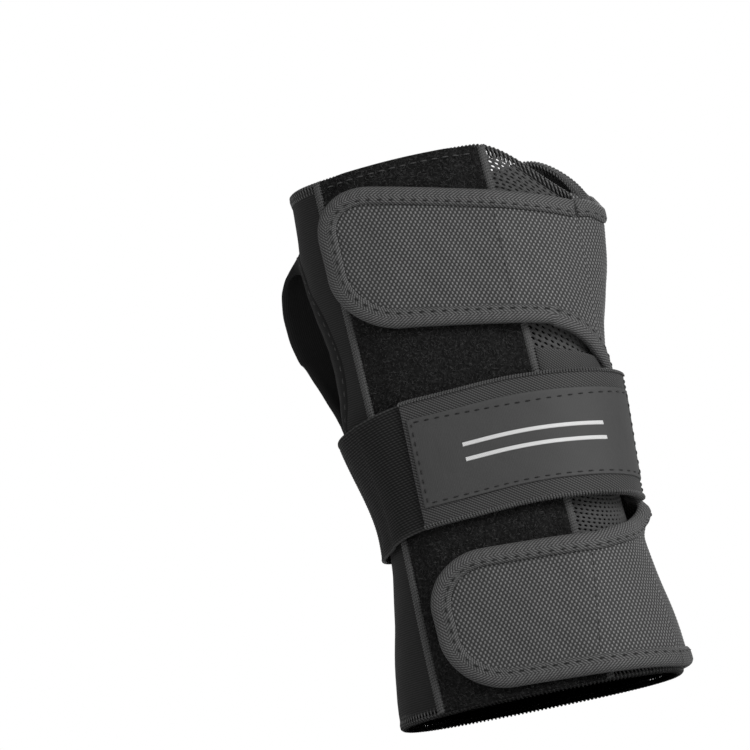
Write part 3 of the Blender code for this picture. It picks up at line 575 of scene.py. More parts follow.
class Surface:
    """A Principled material whose pattern is drawn in the cloth coordinates, in millimetres."""

    INPUTS = {"sheen": "Sheen Weight", "sheen_roughness": "Sheen Roughness", "coat": "Coat Weight",
              "coat_roughness": "Coat Roughness", "specular": "Specular IOR Level"}

    def __init__(self, name):
        self.material = bpy.data.materials.new(name)
        self.material.use_nodes = True
        self.tree = self.material.node_tree
        self.shader = self.tree.nodes["Principled BSDF"]
        self.calc, self.wave, self.noise, self.stepped = (
            partial(kind, self.tree) for kind in (calc, wave, noise, stepped))
        cloth = add(self.tree, "ShaderNodeAttribute", {}, attribute_name="cloth", attribute_type="GEOMETRY")
        self.cloth = cloth.outputs["Vector"]
        self.u, self.v, self.edge = add(self.tree, "ShaderNodeSeparateXYZ", {0: self.cloth}).outputs
        world = add(self.tree, "ShaderNodeTexCoord", {})
        self.place = scaled(self.tree, world.outputs["Object"], (1 / MM,) * 3)

    def feed(self, socket, name):
        self.tree.links.new(socket, self.shader.inputs[name])

    def finish(self, pattern, greys, rough, depth=None, glossed=None, raised=None, strength=0.7, mottle=0.2,
               mottle_size=14.0, wear=0.0, sheen=0.02, specular=0.2, **values):
        """Sets the colour between two greys, the roughness and the relief by the pattern.

        The roughness and the relief can have patterns of their own, glossed and raised. The colour is
        clouded by a slow mottle and lightened by wear at the edges.
        """
        ends = {0: pattern, 6: grey(greys[0]), 7: grey(greys[1])}
        mixed = add(self.tree, "ShaderNodeMix", ends, data_type="RGBA")
        slow = self.noise(self.place, mottle_size, detail=4.0)
        fine = self.noise(self.place, 0.5, detail=1.0)
        cloud = self.calc("MULTIPLY_ADD", slow, mottle * 1.4, 1 - mottle)
        cloud = self.calc("MULTIPLY_ADD", fine, mottle * 0.6, cloud)
        if wear:
            cloud = self.calc("MULTIPLY_ADD", self.stepped(self.edge, 1.6, 0.1), wear, cloud)
        inputs = {0: mixed.outputs[2], "Scale": cloud}
        clouded = add(self.tree, "ShaderNodeVectorMath", inputs, operation="SCALE")
        self.feed(clouded.outputs[0], "Base Color")
        self.feed(self.stepped(glossed or pattern, 0.0, 1.0, *rough), "Roughness")
        if depth:
            inputs = {"Height": raised or pattern, "Distance": depth * MM, "Strength": strength}
            self.feed(add(self.tree, "ShaderNodeBump", inputs).outputs[0], "Normal")
        for key, value in {"sheen": sheen, "specular": specular, **values}.items():
            self.shader.inputs[self.INPUTS[key]].default_value = value
        return self.material


def woven_nylon():
    """Coarse ballistic weave: bright yarns that float over dark gaps, staggered row by row."""
    s = Surface("ballistic_nylon")
    along = s.calc("COSINE", s.calc("MULTIPLY", s.u, math.pi / WEAVE_PITCH[0]))
    across = s.calc("COSINE", s.calc("MULTIPLY", s.v, math.pi / WEAVE_PITCH[1]))
    over = s.stepped(s.calc("MULTIPLY", along, across), -0.15, 0.75)
    fibre = s.noise(s.cloth, 0.28, stretch=(0.35, 1.6, 1))
    pattern = s.calc("MULTIPLY", over, s.stepped(fibre, 0.1, 0.75, 0.55, 1.1))
    raised = s.calc("MULTIPLY_ADD", fibre, 0.25, over)
    return s.finish(pattern, (0.012, 0.108), (0.75, 0.48), 0.12, raised=raised, mottle=0.16, specular=0.3)


def binding_tape():
    """Herringbone tape."""
    s = Surface("binding_tape")
    fold = s.calc("ABSOLUTE", s.calc("SUBTRACT", s.v, TAPE_WIDTH / 2))
    lines = s.wave(s.calc("MULTIPLY_ADD", fold, 1.1, s.u), 1.25)
    pattern = s.calc("MULTIPLY", lines, s.calc("MULTIPLY_ADD", s.wave(s.v, 0.8), 0.55, 0.45))
    return s.finish(pattern, (0.014, 0.090), (0.8, 0.6), 0.14, wear=0.1)


def twill_tape():
    s = Surface("twill_tape")
    lines = s.wave(s.calc("MULTIPLY_ADD", s.v, 1.25, s.u), 1.3)
    picks = s.wave(s.calc("MULTIPLY_ADD", s.v, -0.4, s.u), 0.8)
    pattern = s.calc("MULTIPLY", lines, s.calc("MULTIPLY_ADD", picks, 0.5, 0.5))
    return s.finish(pattern, (0.007, 0.052), (0.8, 0.62), 0.13, wear=0.15)


def neoprene(name, *greys):
    """Foam rubber faced with a fine knit."""
    s = Surface(name)
    courses, wales = s.wave(s.v, 0.78), s.wave(s.u, 0.62)
    knit = s.calc("MULTIPLY", s.calc("MULTIPLY_ADD", wales, 0.4, 0.6), courses)
    pattern = s.calc("MULTIPLY", knit, s.stepped(s.noise(s.cloth, 0.45), 0.2, 0.8, 0.5, 1.0))
    return s.finish(pattern, greys, (0.9, 0.72), 0.08, mottle=0.25, wear=0.25, sheen_roughness=0.5,
                    specular=0.12)


def velour():
    """Brushed loop pile: a dark ground with lighter tangles."""
    s = Surface("loop_velour")
    tangle = s.noise(s.cloth, 1.0, detail=4.0, roughness=0.7)
    clumps = s.stepped(s.noise(s.cloth, 3.2), 0.2, 0.8, 0.5, 1.0)
    pattern = s.calc("MULTIPLY", s.stepped(tangle, 0.4, 0.75), clumps)
    return s.finish(pattern, (0.0035, 0.020), (1.0, 0.8), 0.5, raised=tangle, strength=0.9, sheen=0.01,
                    specular=0.08)


def pile_yarn():
    s = Surface("loop_pile")
    glints = s.noise(s.place, 1.3)
    return s.finish(s.stepped(glints, 0.35, 0.75), (0.010, 0.060), (0.6, 0.85), glossed=glints)


def thread(name, *greys):
    """Twisted sewing thread."""
    s = Surface(name)
    ply = s.wave(s.calc("MULTIPLY_ADD", s.v, 0.12, s.u), 0.42)
    return s.finish(ply, greys, (0.8, 0.6), 0.08, mottle=0.25)


def ribbed_elastic():
    """Covered rubber ribs along the band, crossed by slanted knit ticks."""
    s = Surface("elastic_knit")
    ticks = s.wave(s.calc("MULTIPLY_ADD", s.v, 0.45, s.u), 1.3)
    pattern = s.calc("MULTIPLY", s.calc("MULTIPLY_ADD", ticks, 0.65, 0.35), s.wave(s.v, RIB_PITCH))
    return s.finish(pattern, (0.0035, 0.022), (0.9, 0.68), 0.14, wear=1.1, sheen=0.015, specular=0.1)


def satin():
    """Label satin with fine upright threads."""
    s = Surface("label_satin")
    streaks = s.noise(s.cloth, 0.8, stretch=(1.6, 0.08, 1))
    pattern = s.calc("MULTIPLY", s.calc("MULTIPLY_ADD", s.wave(s.u, 0.5), 0.35, 0.65), streaks)
    return s.finish(pattern, (0.016, 0.036), (0.6, 0.78), 0.07, glossed=streaks, mottle=0.12, wear=0.15,
                    specular=0.3)


def silver_thread():
    s = Surface("silver_thread")
    ply = s.wave(s.calc("MULTIPLY_ADD", s.v, 0.6, s.u), 0.55)
    return s.finish(ply, (0.28, 0.46), (0.6, 0.4), 0.06, mottle=0.1, sheen=0.0, specular=0.5)


def hook_pad():
    s = Surface("hook_tape")
    rows = s.calc("MULTIPLY", s.wave(s.u, 1.1), s.wave(s.v, 0.9))
    return s.finish(rows, (0.008, 0.030), (0.7, 0.45), 0.2, mottle=0.15, sheen=0.0, specular=0.45)


def synthetic_leather():
    """Pebbled coated cloth with faint creases and pale cut edges."""
    s = Surface("synthetic_leather")
    inputs = {"Vector": scaled(s.tree, s.cloth, (1.0, 1.5, 1.0)), "Scale": 1.05, "Randomness": 0.9}
    pebbles = add(s.tree, "ShaderNodeTexVoronoi", inputs, feature="DISTANCE_TO_EDGE")
    grain = s.stepped(pebbles.outputs["Distance"], 0.02, 0.28)
    creases = s.noise(s.cloth, 5.0, detail=5.0, stretch=(0.5, 1.6, 1), roughness=0.65)
    pattern = s.calc("MULTIPLY", s.calc("MULTIPLY_ADD", grain, 0.3, 0.7),
                     s.stepped(creases, 0.15, 0.85, 0.65, 1.0))
    return s.finish(pattern, (0.060, 0.165), (0.36, 0.56), 0.16, glossed=s.noise(s.cloth, 2.2),
                    raised=s.calc("MULTIPLY_ADD", creases, 0.9, grain), strength=0.55, mottle=0.14,
                    mottle_size=22.0, wear=0.35, sheen=0.0, specular=0.5)


def splint_plastic():
    """Moulded plastic sheet, satin gloss with fine rubbing marks across it."""
    s = Surface("splint_plastic")
    rubbed = s.noise(s.cloth, 1.6, detail=5.0, stretch=(0.15, 2.4, 1), roughness=0.7)
    return s.finish(rubbed, (0.012, 0.030), (0.2, 0.36), 0.02, strength=0.4, mottle=0.15, wear=0.5,
                    sheen=0.0, specular=0.6, coat=0.15, coat_roughness=0.2)


def jersey():
    s = Surface("lining_jersey")
    knit = s.calc("MULTIPLY", s.wave(s.u, 0.9), s.wave(s.v, 0.7))
    return s.finish(knit, (0.004, 0.014), (0.95, 0.8), 0.1, specular=0.1)


def open_mesh():
    s = Surface("mesh_knit")
    strands = s.noise(s.cloth, 0.5)
    return s.finish(strands, (0.013, 0.056), (0.8, 0.6), 0.1)


PAINT = {
    "nylon": woven_nylon(),
    "binding": binding_tape(),
    "twill": twill_tape(),
    "neoprene": neoprene("neoprene", 0.007, 0.026),
    "facing": neoprene("thumb_facing_knit", 0.004, 0.014),
    "velour": velour(),
    "pile": pile_yarn(),
    "overlock": thread("overlock_thread", 0.022, 0.080),
    "stitch": thread("dark_stitches", 0.004, 0.012),
    "grey_stitch": thread("grey_stitches", 0.016, 0.045),
    "elastic": ribbed_elastic(),
    "satin": satin(),
    "silver": silver_thread(),
    "hook": hook_pad(),
    "leather": synthetic_leather(),
    "plastic": splint_plastic(),
    "jersey": jersey(),
    "mesh": open_mesh(),
}


# ---------------------------------------------------------------- settling pieces on bodies

def settle(obj, body, slot, *nodes):
    """Rides a piece on a body and hides the CAD nodes that it stands for. Its material slot is not used."""
    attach(obj, body)
    if nodes:
        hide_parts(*nodes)
    return obj


def hinge_points(across, z, reach, lift):
    """Points on both sides of a peel hinge, in metres, first on the sleeve and then on the strap."""
    start = on_back(across + reach, z, lift)
    end = on_back(across - reach, z, lift)
    return [float(c) for c in start], [float(c) for c in end]


def bend(obj, body, slot, hinge, *nodes):
    """Bakes a piece's placement into its mesh and hides the CAD nodes that it stands for. Its body and hinge
    are not used.
    """
    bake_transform(obj)
    if nodes:
        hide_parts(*nodes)
    return obj


def sew(name, paint, lines, body, slot, share=1.0):
    """Settles a row of stitches, this much of the usual thickness, on a body."""
    return settle(tubes(name, PAINT[paint], lines, STITCH_RADII * share), body, slot)


# ---------------------------------------------------------------- sleeve

def panel_grid(shares, heights, edges, bottom, shorter):
    """Places round and heights of a panel between edges(z), up to the sleeve's top, and its two edges."""
    share, height = grid(shares, heights)
    s = sum(edges(np.array(SLEEVE_TOP / 2))) / 2 + (share - 0.5) * PANEL_GUESS
    for _ in range(3):
        z = bottom + (top_edge(s) - SLEEVE_BOTTOM - shorter) * height
        low, high = edges(z)
        s = low + (high - low) * share
    return s, z, low, high


def neoprene_panel(name, edges, node):
    """One panel of the tube, between edges(z), with slightly pinched seams."""
    shares = soft_span(0, 1, 0.06, ends=(0.0, 0.01, 0.025, 0.05))
    s, z, low, high = panel_grid(shares, span(0, 1, 0.0125), edges, SLEEVE_BOTTOM, 0)
    seam = within(s, low, high)
    pinch = rounded(seam + 0.25, 1.1)
    outer = skin(s, z, undulation(s, z, 0.16) - pinch)
    inner = skin(s, z, -SLEEVE_THICKNESS + pinch * 0.5)
    panel = shell(name, PAINT["neoprene"], outer, inner, s, z, edge=seam)
    return settle(panel, "sleeve", "neoprene", node)


def build_body_panels():
    """Palm, back and little-finger panels."""
    neoprene_panel("palm_body", lambda z: (PALM_SEAM_THUMB + 0 * z, PALM_SEAM_ULNAR + 0 * z),
                   "palm_body_panel")
    neoprene_panel("dorsal_body",
                   lambda z: (from_loop_line(LOOP_EDGES[1], z), from_loop_line(LOOP_EDGES[0], z)),
                   "dorsal_body_panel")
    neoprene_panel("ulnar_body", lambda z: (PALM_SEAM_ULNAR + 0 * z, from_loop_line(GUSSET_EDGE_ULNAR, z)),
                   "ulnar_body_panel")


def hole_point(angle, margin):
    """Points of the leaf-shaped thumb hole, this far outside the opening: (around, height)."""
    power = 2 / THUMB_HOLE_POINT
    c, s = np.cos(angle), np.sin(angle)
    x = THUMB_HOLE_HALF[0] * np.sign(c) * np.abs(c) ** power
    z = THUMB_HOLE_HALF[1] * np.sign(s) * np.abs(s) ** power
    nx, nz = x / THUMB_HOLE_HALF[0] ** 2, z / THUMB_HOLE_HALF[1] ** 2
    size = np.hypot(nx, nz)
    centre_s, centre_z = THUMB_HOLE_CENTRE
    return centre_s + x + nx / size * margin, centre_z + z + nz / size * margin


def build_thumb_side():
    """The thumb-side panel, as rings from the facing's seam out to the panel's four edges."""
    angles = np.linspace(0, TURN, 361)[:-1] + TURN / 720
    near_s, near_z = hole_point(angles, FACING_WIDTH - 0.4)
    low, high = THUMB_SIDE_EDGE, PALM_SEAM_THUMB
    centre_s, centre_z = THUMB_HOLE_CENTRE
    direction = np.stack([near_s - centre_s, near_z - centre_z])
    direction /= np.linalg.norm(direction, axis=0)
    reach_s = np.where(direction[0] > 0, high - centre_s, low - centre_s) / direction[0]
    reach_z = np.where(direction[1] > 0, SLEEVE_TOP - centre_z, SLEEVE_BOTTOM - centre_z) / direction[1]
    reach = np.minimum(reach_s, reach_z)
    far_s = centre_s + direction[0] * reach
    far_z = centre_z + direction[1] * reach
    for s, z in ((low, SLEEVE_BOTTOM), (low, SLEEVE_TOP), (high, SLEEVE_TOP), (high, SLEEVE_BOTTOM)):
        nearest = np.argmin(np.hypot(far_s - s, far_z - z))
        far_s[nearest], far_z[nearest] = s, z
    shares = soft_span(0, 1, 0.035, ends=(0.0, 0.006, 0.015, 0.03))
    s = near_s[:, None] + (far_s - near_s)[:, None] * shares
    z = near_z[:, None] + (far_z - near_z)[:, None] * shares
    thumb_edge = from_loop_line(LOOP_EDGES[0], z) - 2 * SECTION.half_girth(z)
    leftward = np.clip((centre_s - far_s) / (centre_s - low), 0, 1)
    s = s + (thumb_edge - low) * leftward[:, None] * shares
    seam = within(s, thumb_edge, high)
    pinch = rounded(np.maximum(seam, 0) + 0.25, 1.1)
    puff = 0.9 * smooth(1 - np.hypot((s - centre_s) / 26, (z - centre_z) / 52))
    rows = np.arange(len(angles) + 1) % len(angles)
    s, z, seam, pinch, puff = (grid[rows] for grid in (s, z, seam, pinch, puff))
    outer = skin(s, z, undulation(s, z, 0.35) + puff - pinch)
    inner = skin(s, z, -SLEEVE_THICKNESS + pinch * 0.5)
    side = shell("thumb_side", PAINT["neoprene"], outer, inner, s, z, edge=seam)
    mend(side, 1e-6, drop_inner_faces)
    settle(side, "sleeve", "neoprene", "thumb_side_panel")


def mend(obj, distance, repair):
    """Joins an object's points that lie this close together, then repairs its faces."""
    work = bmesh.new()
    work.from_mesh(obj.data)
    bmesh.ops.remove_doubles(work, verts=work.verts, dist=distance)
    repair(work)
    work.to_mesh(obj.data)
    work.free()


def drop_inner_faces(work):
    """Removes the walls left inside where a ring of rows closes."""
    inner = [f for f in work.faces if sum(len(e.link_faces) > 2 for e in f.edges) > 1]
    bmesh.ops.delete(work, geom=inner, context="FACES")


def facing_points(angle, margin, lift):
    """Points of the thumb hole's turned facing, whose palm side is pushed out as a lip."""
    s, z = hole_point(angle, margin)
    push = np.maximum(0, np.cos(angle - math.radians(LIP_TURN))) ** 1.5
    lip = np.array(LIP_REACH) * (push * smooth(1 - margin / (FACING_WIDTH + 1.5)))[..., None]
    return skin(s, z, lift) + lip * MM


def build_thumb_facing():
    """The turned facing round the thumb hole and its row of stitches."""
    angles = np.linspace(0, TURN, 241)[:-1] + 1e-4
    turned = np.linspace(math.pi / 2, 3 * math.pi / 2, 9)
    front = np.linspace(FACING_WIDTH + 0.2, 1.9, 7)
    back = np.linspace(1.9, FACING_WIDTH + 0.2, 7)
    margins = np.concatenate([front, 1.7 + 1.7 * np.cos(turned)[1:-1], back])
    swell = 0.15 + 0.55 * np.sin(np.linspace(0, math.pi, 7))
    lifts = np.concatenate([swell, -1.5 + 1.65 * np.sin(turned)[1:-1], np.full(7, -SLEEVE_THICKNESS)])
    angle, margin = grid(angles, margins)
    lift = np.broadcast_to(lifts, margin.shape) + 0.06 * np.sin(angle * 19 + 0.6) * (margin < 5)
    round_hole = np.hypot(*np.diff(hole_point(angles, FACING_WIDTH / 2))).cumsum()
    fold = facing_points(np.full(len(margins), math.radians(LIP_TURN)), margins, lifts)
    over_lip = np.linalg.norm(np.diff(fold, axis=0), axis=1).cumsum() / MM
    ring = swept("thumb_facing", PAINT["facing"], facing_points(angle, margin, lift), True,
                 np.append(0, round_hole), np.append(0, over_lip))
    settle(ring, "sleeve", "neoprene", "thumb_hole_facing")
    marks = np.linspace(0, TURN, 46)[:-1]
    offsets = np.linspace(-0.5, 0.5, 5) * 0.085
    angle = marks[:, None] + offsets
    sunk = np.array([-0.2, 0.2, 0.3, 0.2, -0.2])
    lines = facing_points(angle, np.full(angle.shape, FACING_WIDTH - 1.0), 0.2 + sunk + 0 * angle)
    sew("thumb_facing_stitches", "grey_stitch", lines, "sleeve", "overlock_thread")


def hem_threads(name, node, height_at, facing):
    """An overlocked hem: a soft core ring wrapped by slanted threads that pass over the edge."""
    shares = np.linspace(-1, 1, 241)[:-1]
    near_top = SECTION.half_girth(np.array(SLEEVE_TOP - ULNAR_DIP / 2))
    z = height_at(shares * near_top)
    s = shares * SECTION.half_girth(z)
    turn = np.linspace(0, TURN, 15)[:-1]
    out = HEM_LIFT + 1.55 * np.cos(turn)
    rise = facing * (HEM_RISE + 0.75 * np.sin(turn))
    core = skin(s[:, None], z[:, None] + rise, out[None] + 0 * s[:, None])
    ring = swept(name, PAINT["overlock"], core, True, s, turn)
    settle(ring, "sleeve", "overlock_thread", node)
    shares = np.linspace(-1, 1, HEM_THREADS + 1)[:-1]
    wrap = np.linspace(-0.35 * math.pi, 1.15 * math.pi, 11)
    slant = np.linspace(-0.7, 0.7, 11) / near_top
    share = shares[:, None] + slant[None] * facing
    z = height_at(share * near_top)
    s = share * SECTION.half_girth(z)
    out = HEM_LIFT + 1.95 * np.cos(wrap)
    reach = np.where(np.sin(wrap) < 0, 4.2, 0.95)
    rise = facing * (HEM_RISE + reach * np.sin(wrap))
    lines = skin(s, z + rise, out[None] + 0 * s)
    threads = tubes(name + "_threads", PAINT["overlock"], lines, np.full(11, 0.33))
    settle(threads, "sleeve", "overlock_thread")


def build_hems():
    hem_threads("finger_hem_cord", "finger_hem", lambda s: top_edge(s) + 0.2, 1)
    hem_threads("forearm_hem_cord", "forearm_hem", lambda s: 1.75 + 0 * s, -1)


# ---------------------------------------------------------------- linings and pad

def lining_panel(name, node, edges, lift):
    """Smooth lining, with soft waves where it isn't held."""
    s, z, _, _ = panel_grid(np.linspace(0, 1, 46), np.linspace(0, 1, 100), edges, SLEEVE_BOTTOM + 2, 3)
    base = lift(s, z) + undulation(s, z, 0.12)
    cloth = shell(name, PAINT["jersey"], skin(s, z, base), skin(s, z, base - 0.6), s, z)
    settle(cloth, "sleeve", "lining_jersey", node)


def build_linings():
    lining_panel("palm_lining_cloth", "palm_lining", lambda z: (-34.0 + 0 * z, 43.0 + 0 * z),
                 lambda s, z: -3.3 - 2.9 * crown(s, 34.0))
    lining_panel("dorsal_lining_cloth", "dorsal_lining",
                 lambda z: (from_loop_line(LOOP_EDGES[1] - 1, z), from_loop_line(LOOP_EDGES[0] + 1, z)),
                 lambda s, z: -3.35 + 0 * s)


def build_foam_pad():
    """The palm's foam pad, puffed by a cloth simulation between the neoprene and the lining."""
    half, low, high = PAD_HALF_WIDTH, *PAD_HEIGHTS
    s, z = grid(soft_span(-half, half, 2.2), soft_span(low, high, 2.2))
    edge = np.minimum(within(s, -half, half), within(z, low, high))
    pinch = rounded(edge, 1.4) * 0.6
    pad = shell("palm_pad", PAINT["neoprene"], skin(s, z, -3.5 - pinch), skin(s, z, -5.3 + pinch), s, z)
    rest = np.array([v.co for v in pad.data.vertices], float)
    puffed = pad.modifiers.new("puff", "CLOTH")
    puffed.settings.use_pressure = True
    puffed.settings.uniform_pressure_force = 4
    puffed.settings.effector_weights.gravity = 0
    puffed.settings.mass = 0.3
    puffed.settings.tension_stiffness = 40
    puffed.settings.compression_stiffness = 40
    puffed.point_cache.frame_end = 20
    for step in range(1, 21):
        bpy.context.scene.frame_set(step)
    evaluated = pad.evaluated_get(bpy.context.evaluated_depsgraph_get())
    moved = np.array([v.co for v in evaluated.data.vertices], float)
    pad.modifiers.remove(puffed)
    bpy.context.scene.frame_set(1)
    shift = moved - rest
    length = np.maximum(np.linalg.norm(shift, axis=1, keepdims=True), 1e-9)
    shift *= np.minimum(1, PAD_PUFF * MM / length)
    pad.data.vertices.foreach_set("co", (rest + shift).astype(np.float32).ravel())
    pad.data.update()
    settle(pad, "sleeve", "foam", "palm_foam_pad")


# ---------------------------------------------------------------- back of the hand

def build_loop_panel():
    """The velour panel with its pile, the ribs of thread along its edges and the stitches across its top."""
    low, high = LOOP_EDGES
    x, share = grid(soft_span(low, high, 0.9), soft_span(0, 1, 0.0046, ends=(0.0, 0.001, 0.0025, 0.005)))
    top = loop_top(x)
    z = 0.6 + (top - 0.6) * share
    edge = np.minimum(within(x, low, high), within(z, 0.6, top))
    fall = rounded(edge, 0.8)
    tufts = 0.16 * RNG.standard_normal(x.shape)
    lift = loop_lift(x)
    outer = on_back(x, z, lift - 0.25 - fall + tufts * (edge > 0.5))
    inner = on_back(x, z, lift - LOOP_THICKNESS + fall * 0.5)
    panel = shell("loop_ground", PAINT["velour"], outer, inner, x, z, edge=edge)
    settle(panel, "sleeve", "loop_velour", "loop_panel")

    count = LOOP_TUFTS
    x = RNG.uniform(low + 0.5, high - 0.5, count)
    z = 1.0 + RNG.uniform(0, 1, count) * (loop_top(x) - 1.6)
    heading = RNG.uniform(0, TURN, count)
    length = RNG.uniform(0.5, 1.3, count)
    height = RNG.uniform(0.15, 0.75, count)
    arc = np.linspace(0, math.pi, 5)
    run = -np.cos(arc) * length[:, None] / 2
    curl = np.sin(2 * arc) * RNG.uniform(-0.3, 0.3, count)[:, None]
    along = x[:, None] + run * np.cos(heading)[:, None] - curl * np.sin(heading)[:, None]
    up = z[:, None] + run * np.sin(heading)[:, None] + curl * np.cos(heading)[:, None]
    lines = on_back(along, up, loop_lift(along) - 0.35 + np.sin(arc) * height[:, None])
    settle(tubes("loop_pile", PAINT["pile"], lines, np.full(5, 0.06), sides=3), "sleeve", "loop_velour")

    overlock_rib("loop_rib_thumb", low - 2.6, low + 0.1, "loop_edge_thumb")
    overlock_rib("loop_rib_ulnar", high - 0.1, high + 2.6, "loop_edge_ulnar")
    xs = span(low + 2, high - 2, 2.0)
    path = list(zip(xs, loop_top(xs) - 3.2))
    lines = stitch_lines(path, on_back, lambda x, z: loop_lift(x) + 0.25)
    sew("loop_top_stitches", "grey_stitch", lines, "sleeve", "overlock_thread")


def loop_top(across):
    return top_edge(from_loop_line(across, SLEEVE_TOP)) + LOOP_OVERHANG


def overlock_rib(name, low, high, node):
    """A rib of threads that cross a raw edge, on the core that they cover."""
    top = float(loop_top(low)) - 0.5
    x, z = grid(np.linspace(low + 0.2, high - 0.2, 9), span(0.8, top, 1.0))
    hump = np.sqrt(np.clip(1 - ((x - (low + high) / 2) / (high - low) * 2) ** 2, 0, 1))
    outer = on_back(x, z, 0.9 + 1.15 * hump)
    core = shell(name + "_core", PAINT["overlock"], outer, on_back(x, z, 0.25), x, z)
    settle(core, "sleeve", "overlock_thread", node)
    marks = np.arange(1.2, top, 1.02)
    arc = np.linspace(0.06, 0.94, 7) * math.pi
    across = (low + high) / 2 - np.cos(arc) * (high - low) / 2
    up = marks[:, None] + np.linspace(-0.45, 0.45, 7)
    lines = on_back(across + 0 * up, up, 0.95 + 1.2 * np.sin(arc))
    settle(tubes(name, PAINT["overlock"], lines, np.full(7, 0.36), sides=6), "sleeve", "overlock_thread")


def build_gusset():
    """Open mesh with oval holes in staggered rows."""
    pitch_u, pitch_v = MESH_PITCH
    columns = int((GUSSET_EDGE_ULNAR - LOOP_EDGES[1]) / pitch_u)
    rows = int((SLEEVE_TOP - SLEEVE_BOTTOM) / pitch_v)
    i, j = (index.ravel() for index in grid(np.arange(columns), np.arange(rows)))
    corner = np.array([(-1, -1), (0, -1), (1, -1), (1, 0), (1, 1), (0, 1), (-1, 1), (-1, 0)]) / 2
    angle = np.arctan2(corner[:, 1], corner[:, 0])
    hole = np.stack([np.cos(angle) * 0.31, np.sin(angle) * 0.29], -1)
    ring = np.concatenate([corner, hole])
    stagger = 0.5 * (j % 2)
    in_hole = np.arange(16) >= 8
    u = LOOP_EDGES[1] + 0.8 + (i[:, None] + 0.5 + ring[:, 0]) * pitch_u
    v = SLEEVE_BOTTOM + 0.6 + (j[:, None] + 0.5 + ring[:, 1]) * pitch_v
    u = u + (stagger[:, None] - 0.25) * pitch_u * 0.55 * in_hole
    height = top_edge(from_loop_line(u, v)) - SLEEVE_BOTTOM - 0.5
    z = SLEEVE_BOTTOM + (v - SLEEVE_BOTTOM) * height / (SLEEVE_TOP - SLEEVE_BOTTOM)
    outer = on_back(u, z, -0.1 - 0.25 * ~in_hole)
    inner = on_back(u, z, -0.9)
    cells = len(i)
    base = np.arange(cells)[:, None] * 16
    k = np.arange(8)
    m = (k + 1) % 8
    upper = np.stack([base + k, base + m, base + 8 + m, base + 8 + k], -1).reshape(-1, 4)
    count = cells * 16
    near, far = base + 8 + k, base + 8 + m
    walls = np.stack([near, far, far + count, near + count], -1).reshape(-1, 4)
    points = np.concatenate([outer.reshape(-1, 3), inner.reshape(-1, 3)])
    cloth = np.stack([u.ravel(), v.ravel(), np.full(u.size, FAR_FROM_EDGE)], -1)
    faces = [upper, upper[:, ::-1] + count, walls]
    mesh = mesh_object("gusset_mesh", points, faces, PAINT["mesh"], np.concatenate([cloth, cloth]))
    mend(mesh, 1e-5, wall_border)
    mesh.data.shade_smooth()
    settle(mesh, "sleeve", "mesh_knit", "mesh_gusset")


def wall_border(work):
    """Walls in the outer border of a net whose cells have been joined."""
    bmesh.ops.bridge_loops(work, edges=[e for e in work.edges if e.is_boundary])
    bmesh.ops.recalc_face_normals(work, faces=work.faces)


def build_gusset_tape():
    """The short diagonal tape above the elastic's tab."""
    (low, high), half = CROSSING_TAPE_ENDS, CROSSING_TAPE_HALF
    x, w = grid(soft_span(low, high, 1.2), soft_span(-half, half, 0.7))
    z = 113.5 - 0.22 * (x - 32) + w
    edge = np.minimum(within(w, -half, half), within(x, low, high))
    fall = rounded(edge, 0.45)
    lift = 0.35 + 0.9 * smooth((x - 30) / 4)
    tape = shell("gusset_crossing_tape", PAINT["twill"], on_back(x, z, lift + 0.55 - fall),
                 on_back(x, z, lift - 0.45 + fall * 0.5), x, w + 10, edge=edge)
    settle(tape, "sleeve", "twill_tape", "gusset_tape")


# ---------------------------------------------------------------- straps

def weave_height(u, v):
    """Height of the ballistic weave, 0 to 1."""
    check = np.cos(math.pi * u / WEAVE_PITCH[0]) * np.cos(math.pi * v / WEAVE_PITCH[1])
    return smooth((check + 0.3) / 1.1)


def strap_middle(strap, x):
    return strap["middle"] + strap["slope"] * x


def strap_half(strap, x):
    return strap["half"] + strap["taper"] * x


def strap_reach(strap, x, inset):
    """Half height of a strap at x, rounded at its tip."""
    radius = STRAP_CORNER - inset
    into = np.clip(strap["tip"] + inset + radius - x, 0, radius)
    return strap_half(strap, x) - inset - (radius - np.sqrt(np.maximum(radius ** 2 - into ** 2, 0)))


def strap_edges(strap, x, inset):
    """The low and high edge of a strap at x. The edge next to the C flares into it."""
    middle, reach = strap_middle(strap, x), strap_reach(strap, x, inset)
    low, high = middle - reach, middle + reach
    if strap is UPPER_STRAP:
        xs, zs = zip(*smooth_path(C_EDGE_TOP))
        return np.where(x > xs[0], np.interp(x, xs, zs) + inset, low), high
    xs, zs = zip(*smooth_path(C_EDGE_BOTTOM)[::-1])
    return low, np.where(x > xs[0], np.interp(x, xs, zs) - inset, high)


def smooth_path(points, step=0.8, reach=4):
    """A dense path through points, its corners rounded by a running mean."""
    points = np.asarray(points, float)
    path = np.stack(at_marks(points, span(0, run_of(points)[-1], step)), -1)
    for _ in range(2):
        before, after = 2 * path[:1] - path[reach:0:-1], 2 * path[-1:] - path[-2:-reach - 2:-1]
        padded = np.concatenate([before, path, after])
        kernel = np.ones(2 * reach + 1) / (2 * reach + 1)
        path = np.stack([np.convolve(padded[:, k], kernel, "valid") for k in (0, 1)], -1)
    return path


def whole_c_edge():
    return np.concatenate([smooth_path(C_EDGE_TOP), smooth_path(C_EDGE_BOTTOM)[1:]])


def weave_faces(place, u, v, middle):
    """The outer and the inner points of woven cloth with this lift of its middle."""
    outer, inner = WEAVE_FACES
    return place(middle + outer + WEAVE_RELIEF * weave_height(u, v)), place(middle + inner)


def curl_lift(x, z):
    """How far the lower strap's loose corner stands off beside the C."""
    return 4.5 * np.exp(-((x - 66.0) / 6.5) ** 2 - ((z - 57.5) / 6.0) ** 2)


